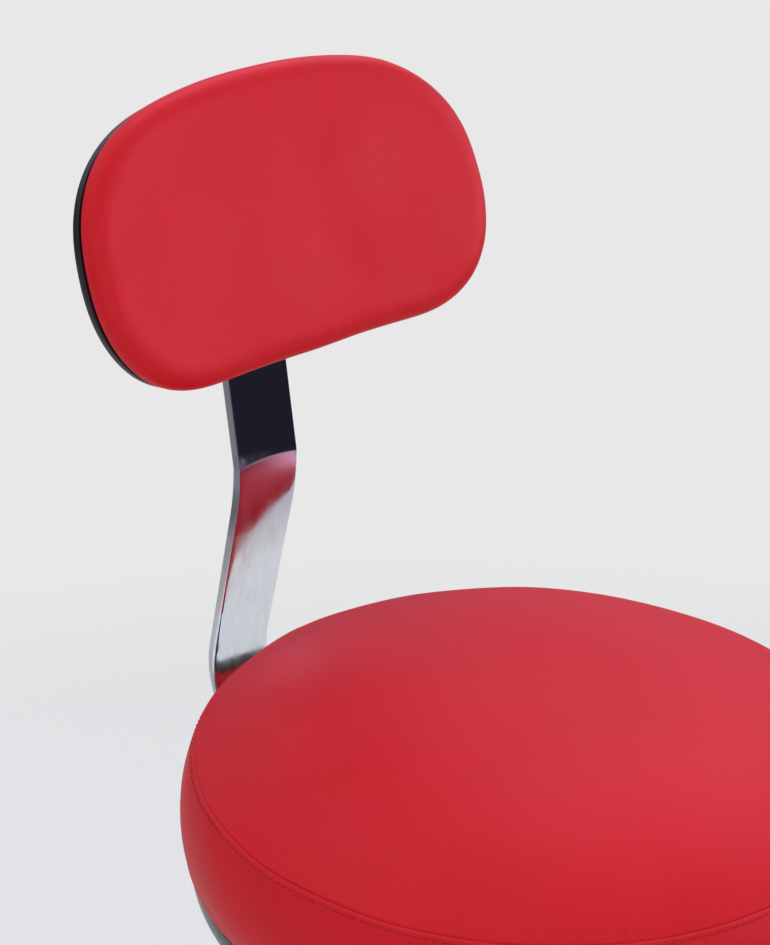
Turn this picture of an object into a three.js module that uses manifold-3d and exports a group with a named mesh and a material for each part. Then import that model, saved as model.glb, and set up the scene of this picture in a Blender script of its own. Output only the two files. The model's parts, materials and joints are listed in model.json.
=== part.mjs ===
// Counter stool: a thick round seat cushion, a low padded backrest on a bent flat bar, a gas lift
// with a release lever, a foot ring and a weighted trumpet base.
// Lengths are in millimetres. The floor is z = 0, the column stands on the Z axis, the sitter faces -Y.
import * as THREE from "three";
import { mergeVertices } from "three/addons/utils/BufferGeometryUtils.js";
import Module from "manifold-3d";

const wasm = await Module();
wasm.setup();

// Clearances and tool lengths
const fitGap = 0.3; // between pieces that touch
const runGap = 0.08; // radial, between pieces that slide or turn on each other
const overrun = 4; // how far a cutting shape runs past what it cuts
const weldDistance = 0.0005; // vertices nearer than this are one

// Side counts of round pieces
const largeSides = 40;
const mediumSides = 24;
const smallSides = 20;
const boltSides = 12;
const hexSides = 6;
const ballSides = 6;
const cornerSteps = 3;

// Heights
const seamHeight = 622; // floor to the seat's seam, with the lift at its lowest
const liftTravel = 200;

// Seat cushion
const seamRadius = 185.4;
const seatCrown = 42.8; // rise of the top panel above the seam
const crownShare = 3.46; // exponent of the crown's curve
const sideSwell = 9.15; // how far the side band bulges past the seam
const swellDrop = 33.4; // seam to the widest line of the band
const sideDepth = 59.4; // seam to the cushion's lower edge
const tuckDrop = 2.5; // the band turns in under the foam over this height
const leatherThickness = 1.2;
const bandSteps = 4;
const domeShares = [0, 0.2, 0.4, 0.58, 0.72, 0.84, 0.93, 1];
const lipWidth = 17; // leather folded under the board

// Seat pan and board
const panRimOut = 3; // pan rim outside the seam circle
const panRimDrop = 62; // seam to the pan's rim
const panDepth = 24;
const panCorner = 22.6; // width of the pan's rounded corner
const panWall = 2.5;
const panCornerSteps = 5;
const boardThickness = 12;
const boardInset = 10.6; // pan rim to the board's edge
const panBossWall = 3.4;

// Seat fasteners
const boltRadius = 4;
const boltHeadRadius = 7.5;
const boltHeadHeight = 5.3;
const nutBarrelWall = 0.9;
const nutFlangeRadius = 10;
const nutFlangeThickness = 1.5;
const nutBarrelLength = 9;

// Lift mechanism under the seat
const plateSize = 160;
const plateThickness = 3;
const plateCorner = 14;
const plateBoltSpacing = 128;
const wellLength = 104; // along X
const wellWidth = 84; // along Y
const wellDepth = 28;
const wellCorner = 10;
const socketWall = 5.5;
const socketAbove = 6; // above the well's underside
const socketBelow = 30;

// Gas lift
const columnRadius = 25;
const columnWall = 2;
const columnFloor = 4;
const columnSocketGap = 12.7; // column to socket, with the lift at its lowest
const cylinderRadius = 14;
const cylinderWall = 1.5;
const cylinderBottom = 60; // above the floor, with the lift at its lowest
const cylinderCap = 10;
const cylinderTaper = 0.8; // the head is narrower by this
const cylinderAboveSocket = 2;
const rodRadius = 5;
const rodBottom = 6; // above the floor
const rodGrooveDepth = 1.2;
const pistonLength = 12;
const pistonOverlap = 27; // piston above the cylinder's foot at full lift
const bushWall = 8.6;
const bushLength = 78;
const bushFlange = 4.3;
const bushFlangeOut = 2;
const bushChamfer = 1.4;
const rodGuideLength = 12;
const rodGuideInset = 1;
const valvePinRadius = 2.5;
const valvePinProud = 6;
const valvePinFlange = 1.6;
const clipThickness = 2.4;
const clipWidth = 4;
const clipDrop = 1; // column floor to the clip
const washerThickness = 1;
const washerRadius = 12;
const bearingHeight = 3;
const bearingBallCount = 8;
const rodCollarHeight = 2;
const rodCollarOut = 2.5;
const bumperHeight = 16;

// Release lever
const leverPivotX = 35; // pivot to the valve pin
const leverPinRadius = 2.5;
const leverPinProud = 2;
const leverRodRadius = 4;
const leverEyeRadius = 6;
const leverEyeWidth = 11;
const leverBendStart = 58;
const leverBendEnd = 86;
const leverBendDrop = 10;
const leverReach = 196;
const leverEndDrop = 6;
const gripRadius = 6.5;
const gripLength = 66;
const gripEndCover = 3;
const gripEndRise = 1;
const leverSlotRise = 3;
const leverSlotFall = 1.5;

// Base
const baseRadius = 225;
const baseRimHeight = 13.2;
const baseRimLift = 1.5;
const baseRimCorner = 7.5;
const baseSheet = 1.6;
const baseNeckRadius = 34;
const baseNeckHeight = 80;
const flareShare = 1.6; // exponent of the trumpet's curve
const flareSteps = 8;
const padThickness = 3;
const ballastThickness = 8;
const ballastInset = 9;
const ballastHole = 14;
const hubWall = 5.4;
const hubFlangeRadius = 58;
const hubFlangeThickness = 4;
const hubNeckGap = 6; // hub top below the trumpet's neck
const collarHeight = 11;
const collarWall = 9;
const collarChamfer = 2.5;

// Foot ring
const ringHeight = 248; // floor to the ring's centre
const ringRadius = 195;
const ringTubeRadius = 11;
const ringTubeSides = 10;
const spokeRadius = 6.5;
const spokeCount = 4;
const clampHeight = 34;
const clampWall = 8;
const clampScrewRadius = 3;
const clampScrewHead = 5;
const clampScrewHeadHeight = 5;
const clampScrewTurn = Math.PI / 4;

// Backrest bar, a bent flat bar
const barWidth = 45;
const barThickness = 6;
const barEdge = 0.9; // bevel of its long edges
const barStandoff = 45.6; // cushion's widest side to the bar
const barFootBend = 49.7; // radius of its front face at the foot
const barFootGap = 8.4; // mechanism plate to the bar's end
const barLowerLean = THREE.MathUtils.degToRad(12.8);
const barUpperLean = THREE.MathUtils.degToRad(9.8);
const barKinkHeight = 91.9; // above the seam
const barKinkBend = 101.2; // radius of its front face at the kink
const barTopBend = 60;
const barTopBendHeight = 214.1; // above the seam
const barTopLength = 71; // from the top bend's corner to the bar's end
const barTopCorner = 12;
const barBoltShares = [0.152838428, 0.644104803]; // foot bolts, from the bar's end to the board's edge
const footBendSteps = 12;
const kinkBendSteps = 4;

// Backrest pad
const backTilt = THREE.MathUtils.degToRad(20.2);
const backStandoff = 44.5; // pad's widest line to the bar's face
const backRise = 31; // top bend's corner to the pad's centre, along the pad
const backHalfWidth = 144.4;
const backHalfHeight = 80.4;
const backCurveRadius = 1360;
const backFront = 9.5; // depth of the rounded front edge
const backEdge = 12; // width of the rounded front edge
const backCrown = 2;
const backSide = 4.5; // from the widest line to the leather's turned edge
const backSideInset = 2.2;
const backTuck = 7;
const backTuckDepth = 0.7;
const backBoardFront = 0.8;
const backBoardThickness = 8;
const backLipWidth = 16;
const shellRimInset = 1.2;
const shellRimGap = 0.6; // behind the leather's turned edge
const shellSide = 2.6;
const shellCorner = 4;
const shellWall = 2.5;
const shellBossWall = 3.6;
const bulgeShare = 2.5; // exponent of the shell's bulge
const bulgeFlatShare = 1.3; // the bulge is cut flat where it passes 1
const padSides = 40;
const frontEdgeSteps = 3;
// Right half of the pad's outline, top centre to bottom centre, in shares of its half width and half height
const outlineShares = [
  [0, 1],
  [0.2, 0.99],
  [0.45, 0.935],
  [0.62, 0.86],
  [0.79, 0.7],
  [0.9, 0.5],
  [0.97, 0.25],
  [1, -0.05],
  [0.998, -0.32],
  [0.95, -0.61],
  [0.84, -0.85],
  [0.67, -0.98],
  [0.46, -1],
  [0.2, -0.995],
];
const backRingShares = [0.9, 0.75, 0.55, 0.3];
const frontRingShares = [0.75];
const capShare = 0.5; // inner ring of a flat end

// Backrest screws
const backScrewRadius = 3;
const backScrewHead = 5;
const backScrewHeadHeight = 5;
const backScrewLow = -12; // from the pad's centre, along the pad
const backScrewHigh = 22;
const backNutFlangeRadius = 8;
const backNutFlangeThickness = 1.2;
const backNutBarrelLength = 6.5;

// Derived seat values, measured down from the seam
const cushionRadius = seamRadius + sideSwell;
const panRimRadius = seamRadius + panRimOut;
const panFlatRadius = panRimRadius - panCorner;
const panBottom = panRimDrop + panDepth;
const panFloor = panBottom - panWall;
const boardRadius = panRimRadius - boardInset;
const boardTop = sideDepth + leatherThickness;
const boardBottom = boardTop + boardThickness;
const plateTop = panBottom + fitGap;
const wellBottom = plateTop + wellDepth;
const socketTop = wellBottom - socketAbove;
const socketBottom = wellBottom + socketBelow;
const cylinderTop = socketTop - cylinderAboveSocket;
const valvePinTop = cylinderTop - valvePinProud;
const leverDrop = valvePinTop - fitGap - leverRodRadius;
const halfBoltSpacing = plateBoltSpacing / 2;
const barArcY = cushionRadius + barStandoff - barFootBend;
const barEndY = plateSize / 2 + barFootGap;
const columnTop = seamHeight - socketBottom - columnSocketGap;
const ballastTop = padThickness + fitGap + ballastThickness;
const columnBottom = ballastTop + fitGap;
const columnFloorTop = columnBottom + columnFloor;
const rodBore = rodRadius + runGap;

// Materials
function material(color, roughness, metalness) {
  return new THREE.MeshStandardMaterial({ color, roughness, metalness });
}

const redLeather = material(0xc42a3a, 0.5, 0);
const yellowFoam = material(0xe4d9b0, 0.95, 0);
const birchPly = material(0xc9a77a, 0.7, 0);
const blackPlastic = material(0x1f1e22, 0.4, 0);
const chromedSteel = material(0xc9ccd0, 0.1, 1);
const blackSteel = material(0x26272a, 0.45, 0.3);
const zincSteel = material(0xa9adb0, 0.35, 0.9);
const castIron = material(0x4a4b4d, 0.75, 0.7);
const blackRubber = material(0x202020, 0.9, 0);
const whiteNylon = material(0xd8d8d2, 0.6, 0);

// Solids
function solidOf(geometry) {
  const loose = geometry.index ? geometry.toNonIndexed() : geometry;
  const plain = new THREE.BufferGeometry();
  plain.setAttribute("position", loose.getAttribute("position"));
  const merged = mergeVertices(plain, weldDistance);
  const corners = merged.index.array;
  const kept = [];
  for (let i = 0; i < corners.length; i += 3) {
    const [a, b, c] = [corners[i], corners[i + 1], corners[i + 2]];
    if (a !== b && b !== c && c !== a) kept.push(a, b, c);
  }
  return new wasm.Manifold(
    new wasm.Mesh({
      numProp: 3,
      vertProperties: merged.getAttribute("position").array,
      triVerts: new Uint32Array(kept),
    }),
  );
}

function geometryOf(solid) {
  const mesh = solid.getMesh();
  const positions = new Float32Array(mesh.numVert * 3);
  for (let i = 0; i < mesh.numVert; i += 1) {
    positions.set(mesh.vertProperties.subarray(i * mesh.numProp, i * mesh.numProp + 3), i * 3);
  }
  const geometry = new THREE.BufferGeometry();
  geometry.setAttribute("position", new THREE.BufferAttribute(positions, 3));
  geometry.setIndex(new THREE.BufferAttribute(mesh.triVerts, 1));
  geometry.computeVertexNormals();
  return geometry;
}

function cut(solid, ...tools) {
  return tools.reduce((rest, tool) => rest.subtract(tool), solid);
}

function join(...solids) {
  return solids.reduce((whole, next) => whole.add(next));
}

function piece(name, solid, finish) {
  const mesh = new THREE.Mesh(geometryOf(solid), finish);
  mesh.name = name;
  return mesh;
}

// A profile of [radius, z] points turned about the Z axis.
// It starts and ends on the axis, or is a closed loop.
function revolve(profile, sides) {
  const closed = profile[0][0] > 0;
  const loop = closed ? [...profile, profile[0]] : profile;
  const area = loop.reduce((sum, [r, z], i) => {
    const [nextR, nextZ] = loop[(i + 1) % loop.length];
    return sum + r * nextZ - nextR * z;
  }, 0);
  const outward = area < 0 ? [...loop].reverse() : loop;
  const points = outward.map(([r, z]) => new THREE.Vector2(r, z));
  return solidOf(new THREE.LatheGeometry(points, sides).rotateX(Math.PI / 2));
}

function ring(outer, inner, low, high, sides) {
  return revolve([[inner, low], [outer, low], [outer, high], [inner, high]], sides);
}

function rod(radius, low, high, sides) {
  return revolve([[0, low], [radius, low], [radius, high], [0, high]], sides);
}

// The turn that lays a shape's Y axis along a direction.
function turnTo(way) {
  return new THREE.Quaternion().setFromUnitVectors(new THREE.Vector3(0, 1, 0), way);
}

// A round bar between two points.
function roundBar(from, to, radius, sides) {
  const way = to.clone().sub(from);
  const turn = turnTo(way.clone().normalize());
  const middle = from.clone().add(to).multiplyScalar(0.5);
  const geometry = new THREE.CylinderGeometry(radius, radius, way.length(), sides);
  return solidOf(geometry.applyQuaternion(turn).translate(middle.x, middle.y, middle.z));
}

function ball(centre, radius, sides) {
  const geometry = new THREE.SphereGeometry(radius, sides, sides / 2);
  return solidOf(geometry.translate(centre.x, centre.y, centre.z));
}

function block([x0, x1], [y0, y1], [z0, z1]) {
  const geometry = new THREE.BoxGeometry(x1 - x0, y1 - y0, z1 - z0);
  return solidOf(geometry.translate((x0 + x1) / 2, (y0 + y1) / 2, (z0 + z1) / 2));
}

// A plate with rounded corners, centred on the Z axis.
function roundedPlate(length, width, corner, low, high) {
  const [x, y] = [length / 2, width / 2];
  const shape = new THREE.Shape();
  shape.moveTo(x - corner, -y);
  shape.absarc(x - corner, -y + corner, corner, -Math.PI / 2, 0);
  shape.absarc(x - corner, y - corner, corner, 0, Math.PI / 2);
  shape.absarc(-x + corner, y - corner, corner, Math.PI / 2, Math.PI);
  shape.absarc(-x + corner, -y + corner, corner, Math.PI, Math.PI * 1.5);
  const geometry = new THREE.ExtrudeGeometry(shape, {
    depth: high - low,
    bevelEnabled: false,
    curveSegments: cornerSteps,
  });
  return solidOf(geometry.translate(0, 0, low));
}

// Points of a [radius, z] profile moved sideways by a distance, to the left of the way they run.
function beside(points, distance) {
  return points.map(([r, z], i) => {
    const [r0, z0] = points[Math.max(i - 1, 0)];
    const [r1, z1] = points[Math.min(i + 1, points.length - 1)];
    const length = Math.hypot(r1 - r0, z1 - z0);
    return [r - ((z1 - z0) / length) * distance, z + ((r1 - r0) / length) * distance];
  });
}

function steps(count) {
  return Array.from({ length: count + 1 }, (_, i) => i / count);
}

// A quarter of an ellipse from the side, at angle 0, to the top, at a quarter turn.
function quarter(centreR, centreZ, width, height, count) {
  return steps(count).map((t) => {
    const angle = (t * Math.PI) / 2;
    return [centreR + width * Math.cos(angle), centreZ + height * Math.sin(angle)];
  });
}

// Base: floor pad, ballast plate, trumpet, hub and collar
function floorPad() {
  return rod(baseRadius - baseSheet - fitGap * 2, 0, padThickness, largeSides);
}

function ballastPlate() {
  const edge = baseRadius - ballastInset;
  return ring(edge, ballastHole, padThickness + fitGap, ballastTop, largeSides);
}

function trumpetLine() {
  const rimInner = baseRadius - baseRimCorner;
  const neckShare = (baseNeckRadius / rimInner) ** flareShare;
  const corner = quarter(rimInner, baseRimHeight - baseRimCorner, baseRimCorner, baseRimCorner, cornerSteps);
  const flare = steps(flareSteps).slice(1).map((t) => {
    const r = rimInner * (baseNeckRadius / rimInner) ** t;
    const share = ((baseNeckRadius / r) ** flareShare - neckShare) / (1 - neckShare);
    return [r, baseRimHeight + (baseNeckHeight - baseRimHeight) * share];
  });
  return [[baseRadius, baseRimLift], ...corner, ...flare];
}

function trumpet() {
  const outer = trumpetLine();
  const inner = beside(outer, baseSheet);
  return revolve([...outer, ...inner.reverse()], largeSides);
}

function baseHub() {
  const bore = columnRadius + fitGap;
  const wall = bore + hubWall;
  const low = ballastTop + fitGap;
  const profile = [
    [bore, low],
    [hubFlangeRadius, low],
    [hubFlangeRadius, low + hubFlangeThickness],
    [wall, low + hubFlangeThickness],
    [wall, baseNeckHeight - hubNeckGap],
    [bore, baseNeckHeight - hubNeckGap],
  ];
  return revolve(profile, mediumSides);
}

function neckCollar() {
  const bore = columnRadius + fitGap;
  const low = baseNeckHeight + fitGap;
  const high = low + collarHeight;
  const profile = [
    [bore, low],
    [bore + collarWall, low],
    [bore + collarWall, high - collarChamfer],
    [bore + collarWall - collarChamfer, high],
    [bore, high],
  ];
  return revolve(profile, mediumSides);
}

// Column and the guide bush at its top
function columnTube() {
  const bore = columnRadius - columnWall;
  const profile = [
    [rodBore, columnBottom],
    [columnRadius, columnBottom],
    [columnRadius, columnTop],
    [bore, columnTop],
    [bore, columnFloorTop],
    [rodBore, columnFloorTop],
  ];
  return revolve(profile, mediumSides);
}

function guideBush() {
  const outer = columnRadius - columnWall - fitGap;
  const bore = outer - bushWall;
  const flangeLow = columnTop + fitGap;
  const profile = [
    [bore, columnTop - bushLength],
    [outer, columnTop - bushLength],
    [outer, flangeLow],
    [columnRadius + bushFlangeOut, flangeLow],
    [columnRadius + bushFlangeOut, flangeLow + bushFlange - bushChamfer],
    [columnRadius + bushFlangeOut - bushChamfer, flangeLow + bushFlange],
    [bore, flangeLow + bushFlange],
  ];
  return revolve(profile, mediumSides);
}

// Foot ring with its clamp, spokes and clamp screw
function footClamp() {
  const bore = columnRadius + fitGap;
  const half = clampHeight / 2;
  const outer = bore + clampWall;
  const collar = ring(outer, bore, ringHeight - half, ringHeight + half, mediumSides);
  const way = new THREE.Vector3(Math.cos(clampScrewTurn), Math.sin(clampScrewTurn), 0);
  const centre = new THREE.Vector3(0, 0, ringHeight);
  const hole = roundBar(
    centre,
    centre.clone().addScaledVector(way, outer + overrun),
    clampScrewRadius + fitGap,
    boltSides,
  );
  return cut(collar, hole);
}

function clampScrew() {
  const outer = columnRadius + fitGap + clampWall;
  const way = new THREE.Vector3(Math.cos(clampScrewTurn), Math.sin(clampScrewTurn), 0);
  const centre = new THREE.Vector3(0, 0, ringHeight);
  const at = (distance) => centre.clone().addScaledVector(way, distance);
  const shank = roundBar(at(columnRadius + fitGap), at(outer + fitGap * 2), clampScrewRadius, boltSides);
  const head = roundBar(
    at(outer + fitGap),
    at(outer + fitGap + clampScrewHeadHeight),
    clampScrewHead,
    boltSides,
  );
  return join(shank, head);
}

function ringTorus(tubeRadius) {
  const geometry = new THREE.TorusGeometry(ringRadius, tubeRadius, ringTubeSides, largeSides);
  return solidOf(geometry.translate(0, 0, ringHeight));
}

function footSpoke(index) {
  const angle = (index * 2 * Math.PI) / spokeCount;
  const way = new THREE.Vector3(Math.cos(angle), Math.sin(angle), 0);
  const centre = new THREE.Vector3(0, 0, ringHeight);
  const clampRadius = columnRadius + fitGap + clampWall;
  const whole = roundBar(
    centre.clone().addScaledVector(way, columnRadius),
    centre.clone().addScaledVector(way, ringRadius),
    spokeRadius,
    boltSides,
  );
  const clampZone = rod(
    clampRadius + fitGap,
    ringHeight - clampHeight,
    ringHeight + clampHeight,
    mediumSides,
  );
  return cut(whole, clampZone, ringTorus(ringTubeRadius + fitGap));
}

// Piston rod with its bearing, washers, clip and bumper, which turn with the seat
const clipTop = columnBottom - clipDrop;
const washerLow = columnFloorTop + fitGap;
const bearingLow = washerLow + washerThickness + fitGap;
const upperWasherLow = bearingLow + bearingHeight + fitGap;
const rodCollarLow = upperWasherLow + washerThickness + fitGap;
const bumperLow = rodCollarLow + rodCollarHeight + fitGap;
const pistonTop = cylinderBottom + liftTravel + pistonOverlap;

function pistonRod() {
  const groove = rodRadius - rodGrooveDepth;
  const stud = rodRadius - rodGrooveDepth / 2;
  const profile = [
    [0, rodBottom],
    [rodRadius - rodGrooveDepth, rodBottom],
    [rodRadius, rodBottom + rodGrooveDepth / 2],
    [rodRadius, clipTop - clipThickness - fitGap],
    [groove, clipTop - clipThickness - fitGap],
    [groove, clipTop + fitGap],
    [rodRadius, clipTop + fitGap],
    [rodRadius, rodCollarLow],
    [rodRadius + rodCollarOut, rodCollarLow],
    [rodRadius + rodCollarOut, rodCollarLow + rodCollarHeight],
    [rodRadius, rodCollarLow + rodCollarHeight],
    [rodRadius, pistonTop - pistonLength - fitGap],
    [stud, pistonTop - pistonLength - fitGap],
    [stud, pistonTop],
    [0, pistonTop],
  ];
  return revolve(profile, smallSides);
}

function rodClip() {
  const bore = rodRadius - rodGrooveDepth + fitGap;
  return ring(bore + clipWidth, bore, clipTop - clipThickness, clipTop, smallSides);
}

function rodWasher(low) {
  return ring(washerRadius, rodRadius + fitGap, low, low + washerThickness, smallSides);
}

function thrustBearing() {
  const middle = bearingLow + bearingHeight / 2;
  const track = (washerRadius + rodRadius + fitGap) / 2;
  const cage = ring(
    washerRadius,
    rodRadius + fitGap,
    middle - bearingHeight / 4,
    middle + bearingHeight / 4,
    smallSides,
  );
  const balls = steps(bearingBallCount).slice(1).map((t) => {
    const angle = t * 2 * Math.PI;
    const centre = new THREE.Vector3(track * Math.cos(angle), track * Math.sin(angle), middle);
    return ball(centre, bearingHeight / 2, ballSides);
  });
  return join(cage, ...balls);
}

function rodBumper() {
  return ring(washerRadius, rodRadius + fitGap, bumperLow, bumperLow + bumperHeight, smallSides);
}

function piston() {
  const bore = rodRadius - rodGrooveDepth / 2 + fitGap;
  const outer = cylinderRadius - cylinderWall - runGap;
  return ring(outer, bore, pistonTop - pistonLength, pistonTop, mediumSides);
}

// Cylinder, its rod guide and the valve pin, in heights from the seam
const cylinderFoot = cylinderBottom - seamHeight;

function gasCylinder() {
  const bore = cylinderRadius - cylinderWall;
  const pinBore = valvePinRadius + runGap;
  const profile = [
    [bore, cylinderFoot],
    [cylinderRadius, cylinderFoot],
    [cylinderRadius, -socketBottom],
    [cylinderRadius - cylinderTaper, -cylinderTop],
    [pinBore, -cylinderTop],
    [pinBore, -cylinderTop - cylinderCap],
    [bore - cylinderTaper, -cylinderTop - cylinderCap],
    [bore - cylinderTaper, -socketBottom - overrun],
    [bore, -socketBottom - overrun * 2],
  ];
  return revolve(profile, mediumSides);
}

function rodGuide() {
  const outer = cylinderRadius - cylinderWall - fitGap;
  const low = cylinderFoot + rodGuideInset;
  return ring(outer, rodBore, low, low + rodGuideLength, mediumSides);
}

function valvePin() {
  const capLow = -cylinderTop - cylinderCap;
  const profile = [
    [0, capLow - valvePinFlange - fitGap],
    [valvePinRadius + valvePinFlange, capLow - valvePinFlange - fitGap],
    [valvePinRadius + valvePinFlange, capLow - fitGap],
    [valvePinRadius, capLow - fitGap],
    [valvePinRadius, -valvePinTop],
    [0, -valvePinTop],
  ];
  return revolve(profile, smallSides);
}

// Seat mechanism: a plate pressed into a well, the taper socket, the lever and its pin
const leverPivot = new THREE.Vector3(-leverPivotX, 0, -leverDrop);

function seatBoltPlaces() {
  const places = [];
  for (const x of [-halfBoltSpacing, halfBoltSpacing]) {
    for (const y of [-halfBoltSpacing, halfBoltSpacing]) places.push([x, y]);
  }
  return places;
}

function barBoltPlaces() {
  return barBoltShares.map((share) => [0, barEndY + share * (boardRadius - barEndY)]);
}

function uprightHoles(places, radius, low, high) {
  return places.map(([x, y]) => {
    const from = new THREE.Vector3(x, y, low);
    const to = new THREE.Vector3(x, y, high);
    return roundBar(from, to, radius, boltSides);
  });
}

function mechanismPlate() {
  const flange = roundedPlate(plateSize, plateSize, plateCorner, -plateTop - plateThickness, -plateTop);
  const well = roundedPlate(wellLength, wellWidth, wellCorner, -wellBottom, -plateTop);
  const hollow = roundedPlate(
    wellLength - plateThickness * 2,
    wellWidth - plateThickness * 2,
    wellCorner - plateThickness,
    -wellBottom + plateThickness,
    -plateTop + overrun,
  );
  const socketHole = rod(
    cylinderRadius + fitGap + socketWall + fitGap,
    -wellBottom - overrun,
    -wellBottom + plateThickness + overrun,
    mediumSides,
  );
  const leverSlot = block(
    [-wellLength / 2 - overrun, -wellLength / 2 + plateThickness + overrun],
    [-leverEyeWidth / 2, leverEyeWidth / 2],
    [-leverDrop - leverRodRadius - leverSlotFall, -leverDrop + leverRodRadius + leverSlotRise],
  );
  const pinHole = roundBar(
    leverPivot.clone().setY(-wellWidth),
    leverPivot.clone().setY(wellWidth),
    leverPinRadius + fitGap,
    boltSides,
  );
  const boltHoles = uprightHoles(
    seatBoltPlaces(),
    boltRadius + fitGap,
    -plateTop - plateThickness - overrun,
    -plateTop + overrun,
  );
  return cut(join(flange, well), hollow, socketHole, leverSlot, pinHole, ...boltHoles);
}

function taperSocket() {
  const lowBore = cylinderRadius + fitGap;
  const profile = [
    [lowBore, -socketBottom],
    [lowBore + socketWall, -socketBottom],
    [lowBore + socketWall, -socketTop],
    [lowBore - cylinderTaper, -socketTop],
  ];
  return revolve(profile, mediumSides);
}

function leverPin() {
  const end = wellWidth / 2 + leverPinProud;
  return roundBar(leverPivot.clone().setY(-end), leverPivot.clone().setY(end), leverPinRadius, smallSides);
}

function leverCorners() {
  return [
    new THREE.Vector3(valvePinRadius, 0, -leverDrop),
    new THREE.Vector3(-leverBendStart, 0, -leverDrop),
    new THREE.Vector3(-leverBendEnd, 0, -leverDrop - leverBendDrop),
    new THREE.Vector3(-leverReach, 0, -leverDrop - leverBendDrop - leverEndDrop),
  ];
}

function heightLever() {
  const corners = leverCorners();
  const bars = corners.slice(1).map((to, i) => roundBar(corners[i], to, leverRodRadius, boltSides));
  const elbows = corners.slice(1, -1).map((corner) => ball(corner, leverRodRadius, ballSides));
  const half = leverEyeWidth / 2 - fitGap * 2;
  const eye = roundBar(
    leverPivot.clone().setY(-half),
    leverPivot.clone().setY(half),
    leverEyeRadius,
    smallSides,
  );
  const bore = roundBar(
    leverPivot.clone().setY(-leverEyeWidth),
    leverPivot.clone().setY(leverEyeWidth),
    leverPinRadius + runGap,
    smallSides,
  );
  return cut(join(...bars, ...elbows, eye), bore);
}

function leverGrip() {
  const [, , bend, end] = leverCorners();
  const way = end.clone().sub(bend).normalize();
  const profile = [
    [0, fitGap],
    [leverRodRadius + fitGap, fitGap],
    [leverRodRadius + fitGap, -gripLength],
    [gripRadius - gripEndCover / 2, -gripLength],
    [gripRadius, -gripLength + gripEndCover],
    [gripRadius, 0],
    [gripRadius - gripEndCover / 2, gripEndCover],
    [0, gripEndCover + gripEndRise],
  ];
  const points = profile.map(([r, z]) => new THREE.Vector2(r, z));
  const geometry = new THREE.LatheGeometry(points, smallSides).applyQuaternion(turnTo(way));
  return solidOf(geometry.translate(end.x, end.y, end.z));
}

function hexBolt(x, y, headTop, shankTop) {
  const at = (z) => new THREE.Vector3(x, y, z);
  const head = roundBar(at(headTop - boltHeadHeight), at(headTop), boltHeadRadius, hexSides);
  const shank = roundBar(at(headTop - boltHeadHeight / 2), at(shankTop), boltRadius, boltSides);
  return join(head, shank);
}

function teeNut(x, y) {
  const bore = boltRadius + fitGap;
  const barrel = bore + nutBarrelWall;
  const profile = [
    [bore, -boardTop - nutFlangeThickness - nutBarrelLength],
    [barrel, -boardTop - nutFlangeThickness - nutBarrelLength],
    [barrel, -boardTop - nutFlangeThickness],
    [nutFlangeRadius, -boardTop - nutFlangeThickness],
    [nutFlangeRadius, -boardTop],
    [bore, -boardTop],
  ];
  const points = [...profile, profile[0]].map(([r, z]) => new THREE.Vector2(r, z));
  const geometry = new THREE.LatheGeometry(points, boltSides).rotateX(Math.PI / 2);
  return solidOf(geometry.translate(x, y, 0));
}

// Seat: pan, board, foam and the two leather panels, in heights from the seam
function seatPan() {
  const outer = quarter(panFlatRadius, -panRimDrop, panCorner, -panDepth, panCornerSteps).reverse();
  const innerDepth = -panDepth + panWall;
  const inner = quarter(panFlatRadius, -panRimDrop, panCorner - panWall, innerDepth, panCornerSteps);
  const dish = revolve([[0, -panBottom], ...outer, ...inner, [0, -panFloor]], largeSides);
  const places = [...seatBoltPlaces(), ...barBoltPlaces()];
  const bossRadius = boltRadius + fitGap + panBossWall;
  const bosses = uprightHoles(places, bossRadius, -panFloor - panWall / 2, -boardBottom - fitGap);
  const holes = uprightHoles(places, boltRadius + fitGap, -panBottom - overrun, -boardBottom + overrun);
  return cut(join(dish, ...bosses), ...holes);
}

function seatBoard() {
  const places = [...seatBoltPlaces(), ...barBoltPlaces()];
  const barrel = boltRadius + fitGap + nutBarrelWall + fitGap;
  const holes = uprightHoles(places, barrel, -boardBottom - overrun, -boardTop + overrun);
  const recessLow = -boardTop - nutFlangeThickness - fitGap;
  const recesses = uprightHoles(places, nutFlangeRadius + fitGap, recessLow, -boardTop + overrun);
  return cut(rod(boardRadius, -boardBottom, -boardTop, largeSides), ...holes, ...recesses);
}

function domeLine() {
  return domeShares.map((share) => {
    return [seamRadius * share, seatCrown * (1 - share ** crownShare)];
  });
}

function sideRadius(drop) {
  return seamRadius + sideSwell * (1 - ((swellDrop - drop) / swellDrop) ** 2);
}

function bandLine() {
  return steps(bandSteps).map((t) => [sideRadius(sideDepth * t), -sideDepth * t]);
}

function topPanel() {
  const outer = domeLine();
  const inner = beside(outer, -leatherThickness);
  const edge = outer.length - 1;
  outer[edge] = [seamRadius, fitGap / 2];
  inner[edge] = [inner[edge][0], fitGap / 2];
  inner[0][0] = 0;
  return revolve([...outer, ...inner.reverse()], largeSides);
}

function sideBand() {
  const outer = bandLine();
  const inner = beside(outer, -leatherThickness);
  outer[0] = [seamRadius, -fitGap / 2];
  inner[0] = [seamRadius - leatherThickness, -fitGap / 2];
  const boardEdge = boardRadius + fitGap;
  const lip = boardEdge - lipWidth;
  const under = [
    [boardEdge + leatherThickness, -sideDepth - tuckDrop],
    [boardEdge + leatherThickness, -boardBottom - fitGap - leatherThickness],
    [lip, -boardBottom - fitGap - leatherThickness],
    [lip, -boardBottom - fitGap],
    [boardEdge, -boardBottom - fitGap],
    [boardEdge, -sideDepth - tuckDrop + leatherThickness],
  ];
  return revolve([...outer, ...under, ...inner.reverse()], largeSides);
}

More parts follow.
